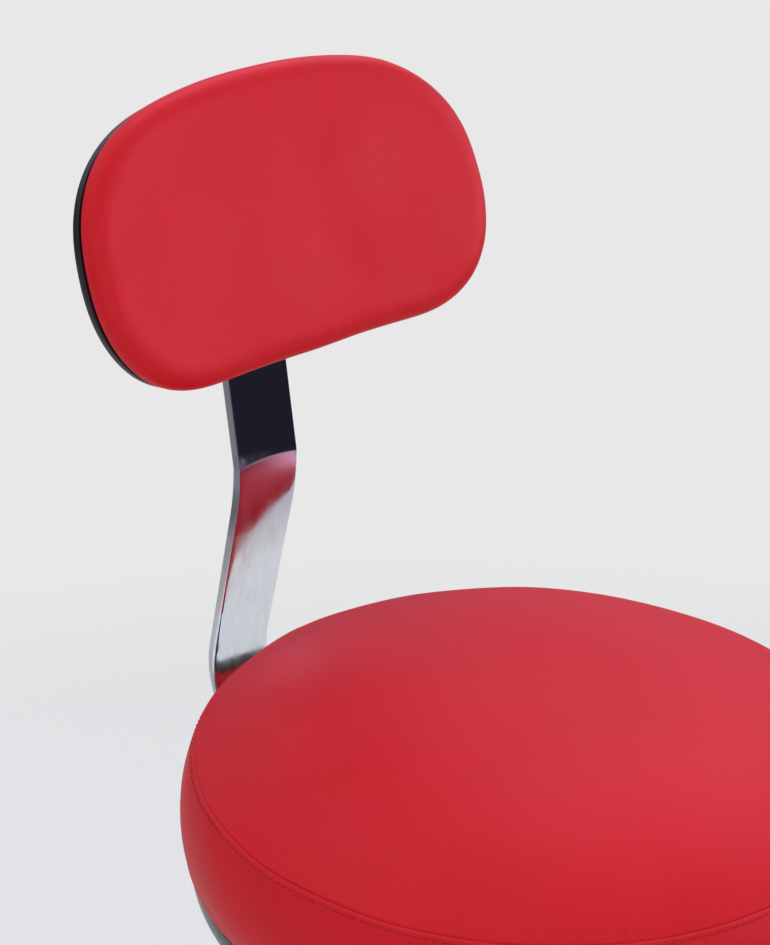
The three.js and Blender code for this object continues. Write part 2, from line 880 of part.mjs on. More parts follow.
function seatFoam() {
  const inset = leatherThickness + fitGap;
  const dome = beside(domeLine(), -inset).slice(0, -1);
  dome[0][0] = 0;
  const side = beside(bandLine(), -inset).slice(1);
  const last = side.length - 1;
  side[last] = [side[last][0], -sideDepth + inset];
  const seat = [boardRadius, -boardTop + fitGap];
  return revolve([...dome, ...side, seat, [0, -boardTop + fitGap]], largeSides);
}

// Backrest bar. Its front face is drawn in the [y, z] plane, from the foot's end to the top.
function barFrontLine() {
  const footTop = -plateTop;
  const arcCentre = new THREE.Vector2(barArcY, footTop + barFootBend);
  const points = [{ at: new THREE.Vector2(barEndY, footTop), normal: -Math.PI / 2 }];
  for (const t of steps(footBendSteps)) {
    const normal = -Math.PI / 2 + t * (Math.PI / 2 + barLowerLean);
    points.push({ at: onArc(arcCentre, barFootBend, normal), normal });
  }
  const kink = barKinkCorner();
  points.push(...cornerArc(kink, barLowerLean, -barUpperLean, barKinkBend, kinkBendSteps));
  const top = barTopTurn(kink);
  points.push(...cornerArc(top, -barUpperLean, -backTilt, barTopBend, kinkBendSteps));
  const up = new THREE.Vector2(Math.sin(backTilt), Math.cos(backTilt));
  points.push({ at: top.clone().addScaledVector(up, barTopLength), normal: -backTilt });
  return points;
}

function onArc(centre, radius, angle) {
  return new THREE.Vector2(centre.x + radius * Math.cos(angle), centre.y + radius * Math.sin(angle));
}

// The corner where the lower and upper straight parts of the front face would meet.
function barKinkCorner() {
  const start = onArc(new THREE.Vector2(barArcY, -plateTop + barFootBend), barFootBend, barLowerLean);
  return new THREE.Vector2(start.x - (barKinkHeight - start.y) * Math.tan(barLowerLean), barKinkHeight);
}

function barTopTurn(kink) {
  const rise = barTopBendHeight - barKinkHeight;
  return new THREE.Vector2(kink.x + rise * Math.tan(barUpperLean), barTopBendHeight);
}

// An arc that rounds a corner of the front face, bent backwards. Normals point to the bar's rear.
function cornerArc(corner, normalIn, normalOut, radius, count) {
  const half = (normalIn - normalOut) / 2;
  const middle = (normalIn + normalOut) / 2;
  const centre = onArc(corner, radius / Math.cos(half), middle);
  return steps(count).map((t) => {
    const normal = normalIn + (normalOut - normalIn) * t;
    return { at: onArc(centre, -radius, normal), normal };
  });
}

function backrestBar() {
  const line = barFrontLine();
  const front = line.map(({ at }) => at);
  const rear = line.map(({ at, normal }) => onArc(at, barThickness, normal)).reverse();
  const shape = new THREE.Shape([...front, ...rear]);
  const geometry = new THREE.ExtrudeGeometry(shape, {
    depth: barWidth - barEdge * 2,
    bevelEnabled: true,
    bevelThickness: barEdge,
    bevelSize: barEdge,
    bevelOffset: -barEdge,
    bevelSegments: 1,
  });
  // the drawing's X is the stool's Y, and its Y is the stool's Z
  geometry.translate(0, 0, -barWidth / 2 + barEdge);
  geometry.applyMatrix4(new THREE.Matrix4().makeBasis(
    new THREE.Vector3(0, 1, 0),
    new THREE.Vector3(0, 0, 1),
    new THREE.Vector3(1, 0, 0),
  ));
  const footHoles = uprightHoles(
    barBoltPlaces(),
    boltRadius + fitGap,
    -plateTop - barThickness - overrun,
    -plateTop + overrun,
  );
  return cut(solidOf(geometry), ...footHoles, ...barTopCuts());
}

// Screw holes and rounded corners of the bar's top end, cut in the pad's own frame.
function barTopCuts() {
  const holes = [backScrewLow, backScrewHigh].map((rise) => {
    const rear = backStandoff + barThickness + overrun;
    return padBar(rise, backStandoff - overrun, rear, backScrewRadius + fitGap);
  });
  const end = barTopLength - backRise;
  const corners = [-1, 1].map((side) => {
    const shape = new THREE.Shape();
    const x = barWidth / 2;
    shape.moveTo(side * (x + overrun), end + overrun);
    shape.lineTo(side * (x - barTopCorner), end + overrun);
    for (const t of steps(kinkBendSteps)) {
      const angle = Math.PI / 2 - (t * Math.PI) / 2;
      const across = x - barTopCorner + barTopCorner * Math.cos(angle);
      shape.lineTo(side * across, end - barTopCorner + barTopCorner * Math.sin(angle));
    }
    shape.lineTo(side * (x + overrun), end - barTopCorner);
    const depth = barThickness + overrun * 2;
    const geometry = new THREE.ExtrudeGeometry(shape, { depth, bevelEnabled: false });
    geometry.rotateX(Math.PI / 2).translate(0, backStandoff + barThickness + overrun, 0);
    return solidOf(geometry.applyMatrix4(padMatrix()));
  });
  return [...holes, ...corners];
}

// Pad frame: x across, y backwards from the pad's widest line, z up along the pad
function padMatrix() {
  const corner = barTopTurn(barKinkCorner());
  const y = corner.x - backStandoff * Math.cos(backTilt) + backRise * Math.sin(backTilt);
  const z = corner.y + backStandoff * Math.sin(backTilt) + backRise * Math.cos(backTilt);
  return new THREE.Matrix4().makeRotationX(-backTilt).setPosition(0, y, z);
}

// A round bar that runs through the pad from front to back.
function padBar(rise, from, to, radius) {
  const geometry = new THREE.CylinderGeometry(radius, radius, to - from, boltSides);
  geometry.translate(0, (from + to) / 2, rise);
  return solidOf(geometry.applyMatrix4(padMatrix()));
}

function outlineCurve() {
  const right = outlineShares.map(([x, z]) => new THREE.Vector3(x * backHalfWidth, z * backHalfHeight, 0));
  const left = right.slice(1).reverse().map((point) => new THREE.Vector3(-point.x, point.y, 0));
  const bottom = new THREE.Vector3(0, -backHalfHeight, 0);
  return new THREE.CatmullRomCurve3([...right, bottom, ...left], true, "centripetal");
}

const outline = outlineCurve().getSpacedPoints(padSides).slice(0, padSides);

// The outline moved inwards by an inset and then shrunk by a share, at a depth behind the widest line.
function padRing(inset, share, depth) {
  return outline.map((point, i) => {
    const before = outline[(i + padSides - 1) % padSides];
    const after = outline[(i + 1) % padSides];
    const way = after.clone().sub(before).normalize();
    const x = (point.x - inset * -way.y) * share;
    const z = (point.y - inset * way.x) * share;
    return new THREE.Vector3(x, depth - (x * x) / (2 * backCurveRadius), z);
  });
}

// A closed body through rings of equal point counts, from front to back, with a centre point on each end.
function loft(rings, frontDepth, backDepth) {
  const points = [new THREE.Vector3(0, frontDepth, 0), ...rings.flat(), new THREE.Vector3(0, backDepth, 0)];
  const faces = [];
  const count = rings[0].length;
  const last = points.length - 1;
  for (let i = 0; i < count; i += 1) {
    const next = (i + 1) % count;
    faces.push(0, 1 + next, 1 + i);
    for (let k = 0; k < rings.length - 1; k += 1) {
      const [a, b] = [1 + k * count + i, 1 + k * count + next];
      faces.push(a, b, a + count, b, b + count, a + count);
    }
    const tail = 1 + (rings.length - 1) * count;
    faces.push(last, tail + i, tail + next);
  }
  const geometry = new THREE.BufferGeometry().setFromPoints(points);
  geometry.setIndex(faces);
  return solidOf(geometry.applyMatrix4(padMatrix()));
}

// The upholstered pad's outer form, or a form that lies inside it all round by an inset.
function padForm(inset, backDepth) {
  const crown = frontRingShares.map((share) => {
    return padRing(backEdge, share, -backFront + inset - backCrown * (1 - share ** 2));
  });
  const edge = steps(frontEdgeSteps).map((t) => {
    const angle = (t * Math.PI) / 2;
    const across = backEdge - (backEdge - inset) * Math.sin(angle);
    return padRing(across, 1, (-backFront + inset) * Math.cos(angle));
  });
  const tuckStart = backSide + backTuckDepth;
  const back = [
    padRing(backSideInset + inset, 1, backSide),
    padRing(backTuck + inset, 1, tuckStart),
    padRing(backTuck + inset, 1, backDepth),
    padRing(backTuck + inset, capShare, backDepth),
  ];
  return loft([...crown.reverse(), ...edge, ...back], -backFront + inset - backCrown, backDepth);
}

const backBoardInset = backTuck + leatherThickness + fitGap;
const backBoardRear = backBoardFront + backBoardThickness;
const leatherRear = backBoardRear + fitGap + leatherThickness;

function backLeather() {
  const hollow = padForm(leatherThickness, backBoardRear + fitGap);
  const lip = backTuck + leatherThickness + backLipWidth;
  const opening = loft(
    [padRing(lip, 1, backBoardRear - overrun), padRing(lip, 1, leatherRear + overrun)],
    backBoardRear - overrun,
    leatherRear + overrun,
  );
  return cut(padForm(0, leatherRear), hollow, opening);
}

function backBoardBody(grow) {
  const front = backBoardFront - grow;
  const rear = backBoardRear + grow;
  const rings = [
    padRing(backBoardInset - grow, capShare, front),
    padRing(backBoardInset - grow, 1, front),
    padRing(backBoardInset - grow, 1, rear),
    padRing(backBoardInset - grow, capShare, rear),
  ];
  return loft(rings, front, rear);
}

function backFoam() {
  return cut(padForm(leatherThickness + fitGap, backBoardRear), backBoardBody(fitGap));
}

function backBoard() {
  const barrel = backScrewRadius + fitGap + nutBarrelWall + fitGap;
  const cuts = [backScrewLow, backScrewHigh].flatMap((rise) => [
    padBar(rise, backBoardFront - overrun, backBoardRear + overrun, barrel),
    padBar(
      rise,
      backBoardFront - overrun,
      backBoardFront + backNutFlangeThickness + fitGap,
      backNutFlangeRadius + fitGap,
    ),
  ]);
  return cut(backBoardBody(0), ...cuts);
}

function backTeeNut(rise) {
  const bore = backScrewRadius + fitGap;
  const flange = padBar(rise, backBoardFront, backBoardFront + backNutFlangeThickness, backNutFlangeRadius);
  const barrelEnd = backBoardFront + backNutFlangeThickness + backNutBarrelLength;
  const barrel = padBar(rise, backBoardFront, barrelEnd, bore + nutBarrelWall);
  return cut(join(flange, barrel), padBar(rise, backBoardFront - overrun, barrelEnd + overrun, bore));
}

const shellRimDepth = backSide + shellRimGap;
const shellRear = backStandoff - fitGap;

// The moulded shell: a rim around the leather's turned edge and a bulged back, flat where the bar lies on it.
function shellForm(inset, rimDepth) {
  const corner = shellCorner - inset;
  const rearRim = shellRimDepth + shellSide + corner;
  const side = [
    padRing(shellRimInset + inset, 1, rimDepth),
    ...steps(cornerSteps).map((t) => {
      const angle = (t * Math.PI) / 2;
      const across = shellRimInset + shellCorner - corner * Math.cos(angle);
      return padRing(across, 1, shellRimDepth + shellSide + corner * Math.sin(angle));
    }),
  ];
  const bulge = backRingShares.map((share) => {
    const rise = Math.min(bulgeFlatShare * (1 - share ** bulgeShare), 1);
    return padRing(shellRimInset + shellCorner, share, rearRim + (shellRear - inset - rearRim) * rise);
  });
  return loft([...side, ...bulge], rimDepth, shellRear - inset);
}

function backShell() {
  const outer = shellForm(0, shellRimDepth);
  const hollow = shellForm(shellWall, shellRimDepth - overrun);
  const bore = backScrewRadius + fitGap;
  const bosses = [backScrewLow, backScrewHigh].map((rise) => {
    return padBar(rise, backBoardRear + fitGap, shellRear - shellWall / 2, bore + shellBossWall);
  });
  const holes = [backScrewLow, backScrewHigh].map((rise) => {
    return padBar(rise, backBoardRear - overrun, shellRear + overrun, bore);
  });
  return cut(join(cut(outer, hollow), ...bosses), ...holes);
}

function backScrew(rise) {
  const barRear = backStandoff + barThickness + fitGap;
  const head = padBar(rise, barRear, barRear + backScrewHeadHeight, backScrewHead);
  const tip = backBoardFront + backNutFlangeThickness;
  return join(head, padBar(rise, tip, barRear + backScrewHeadHeight / 2, backScrewRadius));
}

// Assembly
function baseGroup() {
  const group = new THREE.Group();
  group.add(
    piece("floor_pad", floorPad(), blackRubber),
    piece("ballast_plate", ballastPlate(), castIron),
    piece("base_trumpet", trumpet(), chromedSteel),
    piece("base_hub", baseHub(), blackSteel),
    piece("neck_collar", neckCollar(), chromedSteel),
    piece("column_tube", columnTube(), chromedSteel),
    piece("guide_bush", guideBush(), blackPlastic),
    piece("foot_clamp", footClamp(), chromedSteel),
    piece("clamp_screw", clampScrew(), blackSteel),
    piece("foot_ring", ringTorus(ringTubeRadius), chromedSteel),
  );
  for (let i = 0; i < spokeCount; i += 1) {
    group.add(piece(`foot_spoke_${i + 1}`, footSpoke(i), chromedSteel));
  }
  return group;
}

function rodGroup() {
  const group = new THREE.Group();
  group.add(
    piece("piston_rod", pistonRod(), chromedSteel),
    piece("piston", piston(), whiteNylon),
    piece("rod_clip", rodClip(), zincSteel),
    piece("lower_thrust_washer", rodWasher(washerLow), zincSteel),
    piece("thrust_bearing", thrustBearing(), zincSteel),
    piece("upper_thrust_washer", rodWasher(upperWasherLow), zincSteel),
    piece("rod_bumper", rodBumper(), blackRubber),
  );
  return group;
}

function liftGroup() {
  const group = new THREE.Group();
  group.add(
    piece("gas_cylinder", gasCylinder(), chromedSteel),
    piece("rod_guide", rodGuide(), whiteNylon),
    piece("valve_pin", valvePin(), zincSteel),
    piece("mechanism_plate", mechanismPlate(), blackSteel),
    piece("taper_socket", taperSocket(), blackSteel),
    piece("lever_pin", leverPin(), zincSteel),
    piece("height_lever", heightLever(), chromedSteel),
    piece("lever_grip", leverGrip(), blackPlastic),
  );
  return group;
}

function seatGroup() {
  const group = new THREE.Group();
  const shankTop = -boardTop - nutFlangeThickness;
  group.add(
    piece("seat_pan", seatPan(), blackPlastic),
    piece("seat_board", seatBoard(), birchPly),
    piece("seat_foam", seatFoam(), yellowFoam),
    piece("seat_top_panel", topPanel(), redLeather),
    piece("seat_side_band", sideBand(), redLeather),
  );
  seatBoltPlaces().forEach(([x, y], i) => {
    const bolt = hexBolt(x, y, -plateTop - plateThickness - fitGap, shankTop);
    group.add(piece(`plate_bolt_${i + 1}`, bolt, zincSteel));
    group.add(piece(`plate_nut_${i + 1}`, teeNut(x, y), zincSteel));
  });
  barBoltPlaces().forEach(([x, y], i) => {
    const bolt = hexBolt(x, y, -plateTop - barThickness - fitGap, shankTop);
    group.add(piece(`bar_bolt_${i + 1}`, bolt, zincSteel));
    group.add(piece(`bar_nut_${i + 1}`, teeNut(x, y), zincSteel));
  });
  return group;
}

function backGroup() {
  const group = new THREE.Group();
  group.add(
    piece("backrest_bar", backrestBar(), chromedSteel),
    piece("back_shell", backShell(), blackPlastic),
    piece("back_board", backBoard(), birchPly),
    piece("back_foam", backFoam(), yellowFoam),
    piece("back_leather", backLeather(), redLeather),
  );
  [backScrewLow, backScrewHigh].forEach((rise, i) => {
    group.add(piece(`back_screw_${i + 1}`, backScrew(rise), blackSteel));
    group.add(piece(`back_nut_${i + 1}`, backTeeNut(rise), zincSteel));
  });
  return group;
}

const upper = new THREE.Group();
upper.position.z = seamHeight;
upper.add(liftGroup(), seatGroup(), backGroup());

const stool = new THREE.Group();
stool.add(baseGroup(), rodGroup(), upper);

export default stool;
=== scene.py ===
import json
import math

import bpy
import numpy as np
from mathutils import Matrix, Vector
from mathutils.kdtree import KDTree


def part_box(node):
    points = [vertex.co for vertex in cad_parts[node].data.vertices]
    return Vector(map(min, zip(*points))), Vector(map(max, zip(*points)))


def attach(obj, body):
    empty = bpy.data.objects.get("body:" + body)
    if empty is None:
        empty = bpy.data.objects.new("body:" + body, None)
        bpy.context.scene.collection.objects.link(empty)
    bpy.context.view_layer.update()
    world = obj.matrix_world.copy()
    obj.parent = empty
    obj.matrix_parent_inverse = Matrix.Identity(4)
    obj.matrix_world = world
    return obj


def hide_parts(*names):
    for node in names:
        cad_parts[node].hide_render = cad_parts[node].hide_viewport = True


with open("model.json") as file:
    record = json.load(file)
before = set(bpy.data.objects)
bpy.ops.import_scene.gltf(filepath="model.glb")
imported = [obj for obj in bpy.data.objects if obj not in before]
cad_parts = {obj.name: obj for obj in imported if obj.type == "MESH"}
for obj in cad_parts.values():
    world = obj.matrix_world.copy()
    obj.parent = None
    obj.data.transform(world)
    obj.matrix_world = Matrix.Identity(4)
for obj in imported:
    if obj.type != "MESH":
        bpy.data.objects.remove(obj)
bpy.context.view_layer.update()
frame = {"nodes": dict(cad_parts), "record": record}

# Lengths are in metres, angles in radians unless a name says otherwise

# Seat cushion, measured from the seam's circle
SEAM_HEIGHT = 0.622
SEAM_RADIUS = 0.1854
CROWN = 0.0428
CROWN_POWER = 3.46
SWELL = 0.0087
SWELL_DROP = 0.0337
SIDE_DEPTH = 0.0594
SIDE_TURN = 0.002
LEATHER = 0.0012
# Where the stuffing stands fuller or slacker: x, y and height from the seam's centre, rise and spread
FULLNESS = (
    (0, 0.176, 0.006, 0.0022, 0.034), (0.142, 0.064, 0.019, -0.0015, 0.05),
    (0.085, 0.13, 0.019, -0.0007, 0.05), (-0.145, 0.118, -0.015, -0.0016, 0.055),
    (0.024, 0.142, 0.018, -0.0009, 0.03), (0.152, -0.015, 0.012, 0.0009, 0.04),
)
TUCK_RADIUS = 0.1793
TUCK_DROP = 0.0619
LIP_DROP = 0.0729
LIP_RADIUS = 0.1613

# Leather as cloth: its form stands a little inside the finished one
CLOTH_INSET = 0.004
CUSHION_VOXEL = 0.006
PAD_VOXEL = 0.005
CUSHION_PRESSURE = 16
PAD_PRESSURE = 0.5
CLOTH_FRAMES = 20
# the furthest that the leather may move, and the size of the lumps in the stuffing
CLOTH_MOST = 0.01
STUFFING_LUMP = 0.09
# The bulge is read at some spots along each row, over a reach that takes in so many points, and held to a most
BULGE_SPOTS = 120
BULGE_REACH = 0.02
BULGE_NEAR = 64
BULGE_MOST = 0.0003

# Sewn lap under the seam
GROOVE_DEPTH = 0.0008
GROOVE_WIDTH = 0.0006
LAP_HEIGHT = 0.0027
LAP_RISE = 0.0005
STITCH_DROP = 0.0034
STITCH_PITCH = 0.0049
STITCH_LENGTH = 0.0034
THREAD_RADIUS = 0.0004
STITCH_DENT = 0.0003
SEAM_WAVER = 0.00025
SEAM_FADE = 0.02
PUCKER = 0.0003
PUCKER_REACH = 0.007
FOLD_REACH = 0.014
PUCKER_BREAK = 0.009
# Where the leather is gathered along the seam: angle, spread and strength
GATHERS = ((-2.3, 0.35, 1.3), (-0.75, 0.5, 0.8), (0.7, 0.3, 0.7), (1.9, 0.5, 0.9), (2.9, 0.2, 0.5))

# Seat pan
PAN_RADIUS = 0.1879
PAN_DROP = 0.062
PAN_DEPTH = 0.024
PAN_CORNER = 0.0145
PAN_WALL = 0.0025

# Backrest bar, bent from flat bar
BAR_WIDTH = 0.045
BAR_THICKNESS = 0.006
BAR_EDGE = 0.0006
BAR_EDGE_SWELL = 0.0024
BAR_STANDOFF = 0.0456
BAR_FOOT_BEND = 0.0497
BAR_TOP_FACE = -0.0863
BAR_END_Y = 0.0884
BAR_LOWER_LEAN = math.radians(12.8)
BAR_UPPER_LEAN = math.radians(9.8)
BAR_KINK_HEIGHT = 0.0919
BAR_KINK_EDGE = 0.102
BAR_KINK_BOW = 0.0018
BAR_KINK_EDGE_BEND = 0.0156
BAR_KINK_EDGE_LEAN = math.radians(-1.6)
BAR_KINK_BEND = 0.146
BAR_TOP_BEND = 0.06
BAR_TOP_BEND_HEIGHT = 0.2141
BAR_TOP_LENGTH = 0.071
BAR_TOP_CORNER = 0.012
# Slopes across the flat: one way in the kink, the other way below it
BAR_KINK_WIND = 0.035
BAR_WIND = 0.078

# Backrest pad, in its own frame: x across, depth backwards from the widest line, rise up along the pad
BACK_TILT = math.radians(20.2)
BACK_STANDOFF = 0.0445
BACK_RISE = 0.031
BACK_HALF_WIDTH = 0.1444
BACK_HALF_HEIGHT = 0.0804
BACK_CURVE_RADIUS = 1.36
BACK_FRONT = 0.0095
BACK_EDGE = 0.018
BACK_EDGE_POWER = 2.7
BACK_CROWN = 0.002
BACK_SIDE = 0.0045
BACK_SIDE_INSET = 0.0022
BACK_TUCK = 0.007
BACK_TUCK_DEPTH = 0.0007
BACK_REAR = 0.0103
BACK_FOAM_REAR = 0.0045
SHELL_INSET = 0.0002
SHELL_CORNER_INSET = 0.0016
SHELL_GAP = 0.0006
SHELL_SIDE = 0.003
SHELL_CORNER = 0.004
SHELL_WALL = 0.0025
SHELL_REAR = 0.0442
BULGE_POWER = 2.5
BULGE_FLAT = 1.3
BACK_SCREW_RISES = (-0.012, 0.022)
# The pad sits a little to one side of its bar
PAD_SHIFT = 0.0009
# Where a corner of the pad is drawn in or fuller: x, rise, how far in, and spread
PAD_CORNERS = ((0.116, 0.058, 0.0016, 0.035), (0.085, -0.08, -0.0007, 0.03))
# Right half of the pad's outline, top centre to bottom centre, in shares of its half width and half height
OUTLINE_SHARES = (
    (0, 1), (0.2, 0.99), (0.45, 0.935), (0.62, 0.86), (0.79, 0.7), (0.9, 0.5), (0.97, 0.25), (1, -0.05),
    (0.998, -0.32), (0.95, -0.61), (0.84, -0.85), (0.67, -0.98), (0.46, -1), (0.2, -0.995), (0, -1),
)

# The camera that took the picture
IMAGE_WIDTH = 770
IMAGE_HEIGHT = 945
FOCAL_PIXELS = 2495
CAMERA_PLACE = (-0.8941, -0.7753, 0.703 + SEAM_HEIGHT)
CAMERA_AZIMUTH = math.radians(-45.05)
CAMERA_PITCH = math.radians(24.55)
CAMERA_ROLL = math.radians(0.96)
SENSOR = 36


# Meshes

def new_object(name, data):
    made = bpy.data.objects.new(name, data)
    bpy.context.scene.collection.objects.link(made)
    return made


def set_sharp(piece, degrees):
    piece.data.set_sharp_from_angle(angle=math.radians(degrees))
    return piece


def ring_mesh(name, rows, closed=False, poles=(None, None), sharp=40):
    """A surface through rows of points. Each row closes on itself, and the rows run down the outside."""
    rows = np.asarray(rows, float)
    count, columns = rows.shape[:2]
    points = rows.reshape(-1, 3).tolist()
    here = np.arange(columns)
    following = np.roll(here, -1)
    faces = []
    for row in range(count if closed else count - 1):
        top = row * columns
        low = (row + 1) % count * columns
        faces += np.stack([top + here, low + here, low + following, top + following], 1).tolist()
    for pole, first in zip(poles, (0, (count - 1) * columns)):
        if pole is not None:
            centre = len(points)
            pairs = zip((first + here).tolist(), (first + following).tolist())
            faces += [[a, centre, b] if first else [centre, a, b] for a, b in pairs]
            points.append(list(pole))
    mesh = bpy.data.meshes.new(name)
    mesh.from_pydata(points, [], faces)
    mesh.shade_smooth()
    return set_sharp(new_object(name, mesh), sharp)


def bake(source, name):
    """The evaluated shape of an object with its modifiers, as a plain piece."""
    graph = bpy.context.evaluated_depsgraph_get()
    mesh = bpy.data.meshes.new_from_object(source.evaluated_get(graph))
    mesh.name = name
    bpy.data.objects.remove(source)
    mesh.shade_smooth()
    return new_object(name, mesh)


def cut_or_joined(piece, other, operation, name):
    """A piece after another one is cut out of it or joined to it."""
    change = piece.modifiers.new("change", "BOOLEAN")
    change.operation = operation
    change.object = other
    change.solver = "EXACT"
    made = bake(piece, name)
    bpy.data.objects.remove(other)
    return set_sharp(made, 40)


def eased(corners, radius, steps, closed=True):
    """An outline, or an open path, with its corners rounded."""
    corners = np.asarray(corners, float)
    count = len(corners)
    line = []
    for i in range(count) if closed else range(1, count - 1):
        corner = corners[i]
        ways = (corners[i - 1] - corner, corners[(i + 1) % count] - corner)
        reach = min(radius, *(0.45 * np.linalg.norm(way) for way in ways))
        start, end = (corner + way / np.linalg.norm(way) * reach for way in ways)
        line += [(1 - t) ** 2 * start + 2 * t * (1 - t) * corner + t ** 2 * end for t in np.linspace(0, 1, steps)]
    return np.array(line if closed else [corners[0], *line, corners[-1]])


def ring_angles(count):
    return np.arange(count) * 2 * math.pi / count


def round_row(radius, height, angles):
    """A ring of points. The radius and the height may differ from angle to angle."""
    return np.stack(np.broadcast_arrays(radius * np.cos(angles), radius * np.sin(angles), height), 1)


def turned_rows(profile, sides, raise_by=0.0):
    return [round_row(radius, height + raise_by, ring_angles(sides)) for radius, height in profile]


def turned_ring(name, corners, round_radius):
    """A ring turned from a closed outline of (radius, height) corners, which are rounded."""
    corners = np.asarray(corners, float)
    following = np.roll(corners, -1, 0)
    area = np.sum(corners[:, 0] * following[:, 1] - following[:, 0] * corners[:, 1])
    profile = eased(corners[::-1] if area > 0 else corners, round_radius, 5)
    return ring_mesh(name, turned_rows(profile, 96), closed=True)


def turned_body(name, line, sides, raise_by=0.0):
    """A body turned from a line of (radius, height) that starts on the axis at the top and ends on it below."""
    line = np.asarray(line, float)
    poles = [(0, 0, line[i][1] + raise_by) for i in (0, -1)]
    return ring_mesh(name, turned_rows(line[1:-1], sides, raise_by), poles=poles)


def tube(name, path, radii, sides=32, sharp=40):
    """A round rod along a path, with one radius for each point, closed at both ends."""
    path = np.asarray(path, float)
    ways = np.gradient(path, axis=0)
    ways /= np.linalg.norm(ways, axis=1)[:, None]
    angles = -ring_angles(sides)
    side = np.cross(ways[0], (0.0, 1.0, 0.3))
    side /= np.linalg.norm(side)
    rows = []
    for place, way, radius in zip(path, ways, np.broadcast_to(radii, len(path))):
        side = side - way * np.dot(side, way)
        side /= np.linalg.norm(side)
        up = np.cross(way, side)
        rows.append(place + radius * (np.outer(np.cos(angles), side) + np.outer(np.sin(angles), up)))
    return ring_mesh(name, rows, poles=(path[0], path[-1]), sharp=sharp)


def normals_of(line):
    """Outward directions of a (radius, height) line that runs down the outside."""
    way = np.gradient(line, axis=0)
    way /= np.linalg.norm(way, axis=1)[:, None]
    return np.stack([-way[:, 1], way[:, 0]], 1)


def lengths_of(line):
    return np.concatenate([[0], np.cumsum(np.linalg.norm(np.diff(line, axis=0), axis=1))])


def waves(points, length, seed, count=14):
    """Smooth random heights, about 1 high, with the given distance from crest to crest."""
    random = np.random.default_rng(seed)
    total = np.zeros(len(points))
    for _ in range(count):
        way = random.normal(size=3)
        way *= 2 * math.pi / (length * random.uniform(0.75, 1.35) * np.linalg.norm(way))
        total += np.cos(points @ way + random.uniform(0, 2 * math.pi))
    return total / math.sqrt(count / 2)


def ring_waves(angles, low, high, seed, count=20):
    """Smooth random heights round a circle, with between low and high crests on it."""
    random = np.random.default_rng(seed)
    total = np.zeros(len(angles))
    for turns in random.integers(low, high, count):
        total += np.cos(turns * angles + random.uniform(0, 2 * math.pi))
    return total / math.sqrt(count / 2)


def dress(piece, body, slot, *nodes, material=None, fill=None):
    """Gives a piece its body and its finish, and hides the solids that it stands for. Its fill is not used."""
    piece.data.materials.clear()
    piece.data.materials.append(material or FINISHES[slot])
    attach(piece, body)
    if nodes:
        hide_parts(*nodes)


# Materials

def linear(hex_colour):
    """An sRGB hex value as linear red, green, blue and alpha."""
    parts = [int(hex_colour[i:i + 2], 16) / 255 for i in (1, 3, 5)]
    return [c / 12.92 if c <= 0.04045 else ((c + 0.055) / 1.055) ** 2.4 for c in parts] + [1]


def add(tree, kind, *values, out=0, **named):
    """Adds a node with its settings and links, and gives one of its outputs, by number or by name.

    Values go to the inputs in their order. A named one goes to the setting or the input of that name.
    """
    node = tree.nodes.new(kind if "Node" in kind else "ShaderNode" + kind)
    for key in [key for key in named if hasattr(node, key)]:
        setattr(node, key, named.pop(key))
    sockets = [socket for socket in node.inputs if socket.enabled][:len(values)]
    sockets += [node.inputs[key.replace("_", " ")] for key in named]
    for socket, value in zip(sockets, [*values, *named.values()]):
        if isinstance(value, bpy.types.NodeSocket):
            tree.links.new(value, socket)
        else:
            socket.default_value = value
    outputs = [socket for socket in node.outputs if socket.enabled]
    return next((socket for i, socket in enumerate(outputs) if out in (i, socket.name)), None)


def start_material(name):
    material = bpy.data.materials.new(name)
    material.use_nodes = True
    material.node_tree.nodes.clear()
    return material, material.node_tree, add(material.node_tree, "TexCoord", out="Object")


def with_surface(material, **surface):
    """Ends a material with its surface, whose inputs are named with underscores."""
    tree = material.node_tree
    add(tree, "OutputMaterial", add(tree, "BsdfPrincipled", **surface))
    return material


def seam_creases(tree, place):
    """Short creases across the seat's seam, where the stitching gathers the leather, in patches."""
    width, length = 0.0017, 0.012
    parts = add(tree, "SeparateXYZ", place).node.outputs
    radius = add(tree, "VectorMath", add(tree, "CombineXYZ", parts["X"], parts["Y"]), operation="LENGTH")
    height = add(tree, "Math", parts["Z"], SEAM_HEIGHT, operation="SUBTRACT")
    # the turn starts behind the bar, where its joint is hidden
    behind = add(tree, "Math", parts["Y"], -1.0, operation="MULTIPLY")
    turn = add(tree, "Math", parts["X"], behind, operation="ARCTAN2")
    spot = add(
        tree, "CombineXYZ",
        add(tree, "Math", turn, SEAM_RADIUS / width, operation="MULTIPLY"),
        add(tree, "Math", radius, length, operation="DIVIDE"),
        add(tree, "Math", height, length, operation="DIVIDE"),
    )
    creases = add(tree, "TexNoise", spot, Scale=1.0, Detail=2.0)
    patches = add(tree, "TexNoise", place, Scale=1 / 0.05, Detail=1.0)
    for share in (
        add(tree, "MapRange", radius, 0.15, 0.184, 0.0, 1.0),
        add(tree, "MapRange", height, -0.022, -0.003, 0.0, 1.0),
        add(tree, "MapRange", height, 0.035, 0.025, 0.0, 1.0),
        add(tree, "MapRange", patches, 0.4, 0.6, 0.25, 1.0),
    ):
        creases = add(tree, "Math", creases, share, operation="MULTIPLY")
    return creases


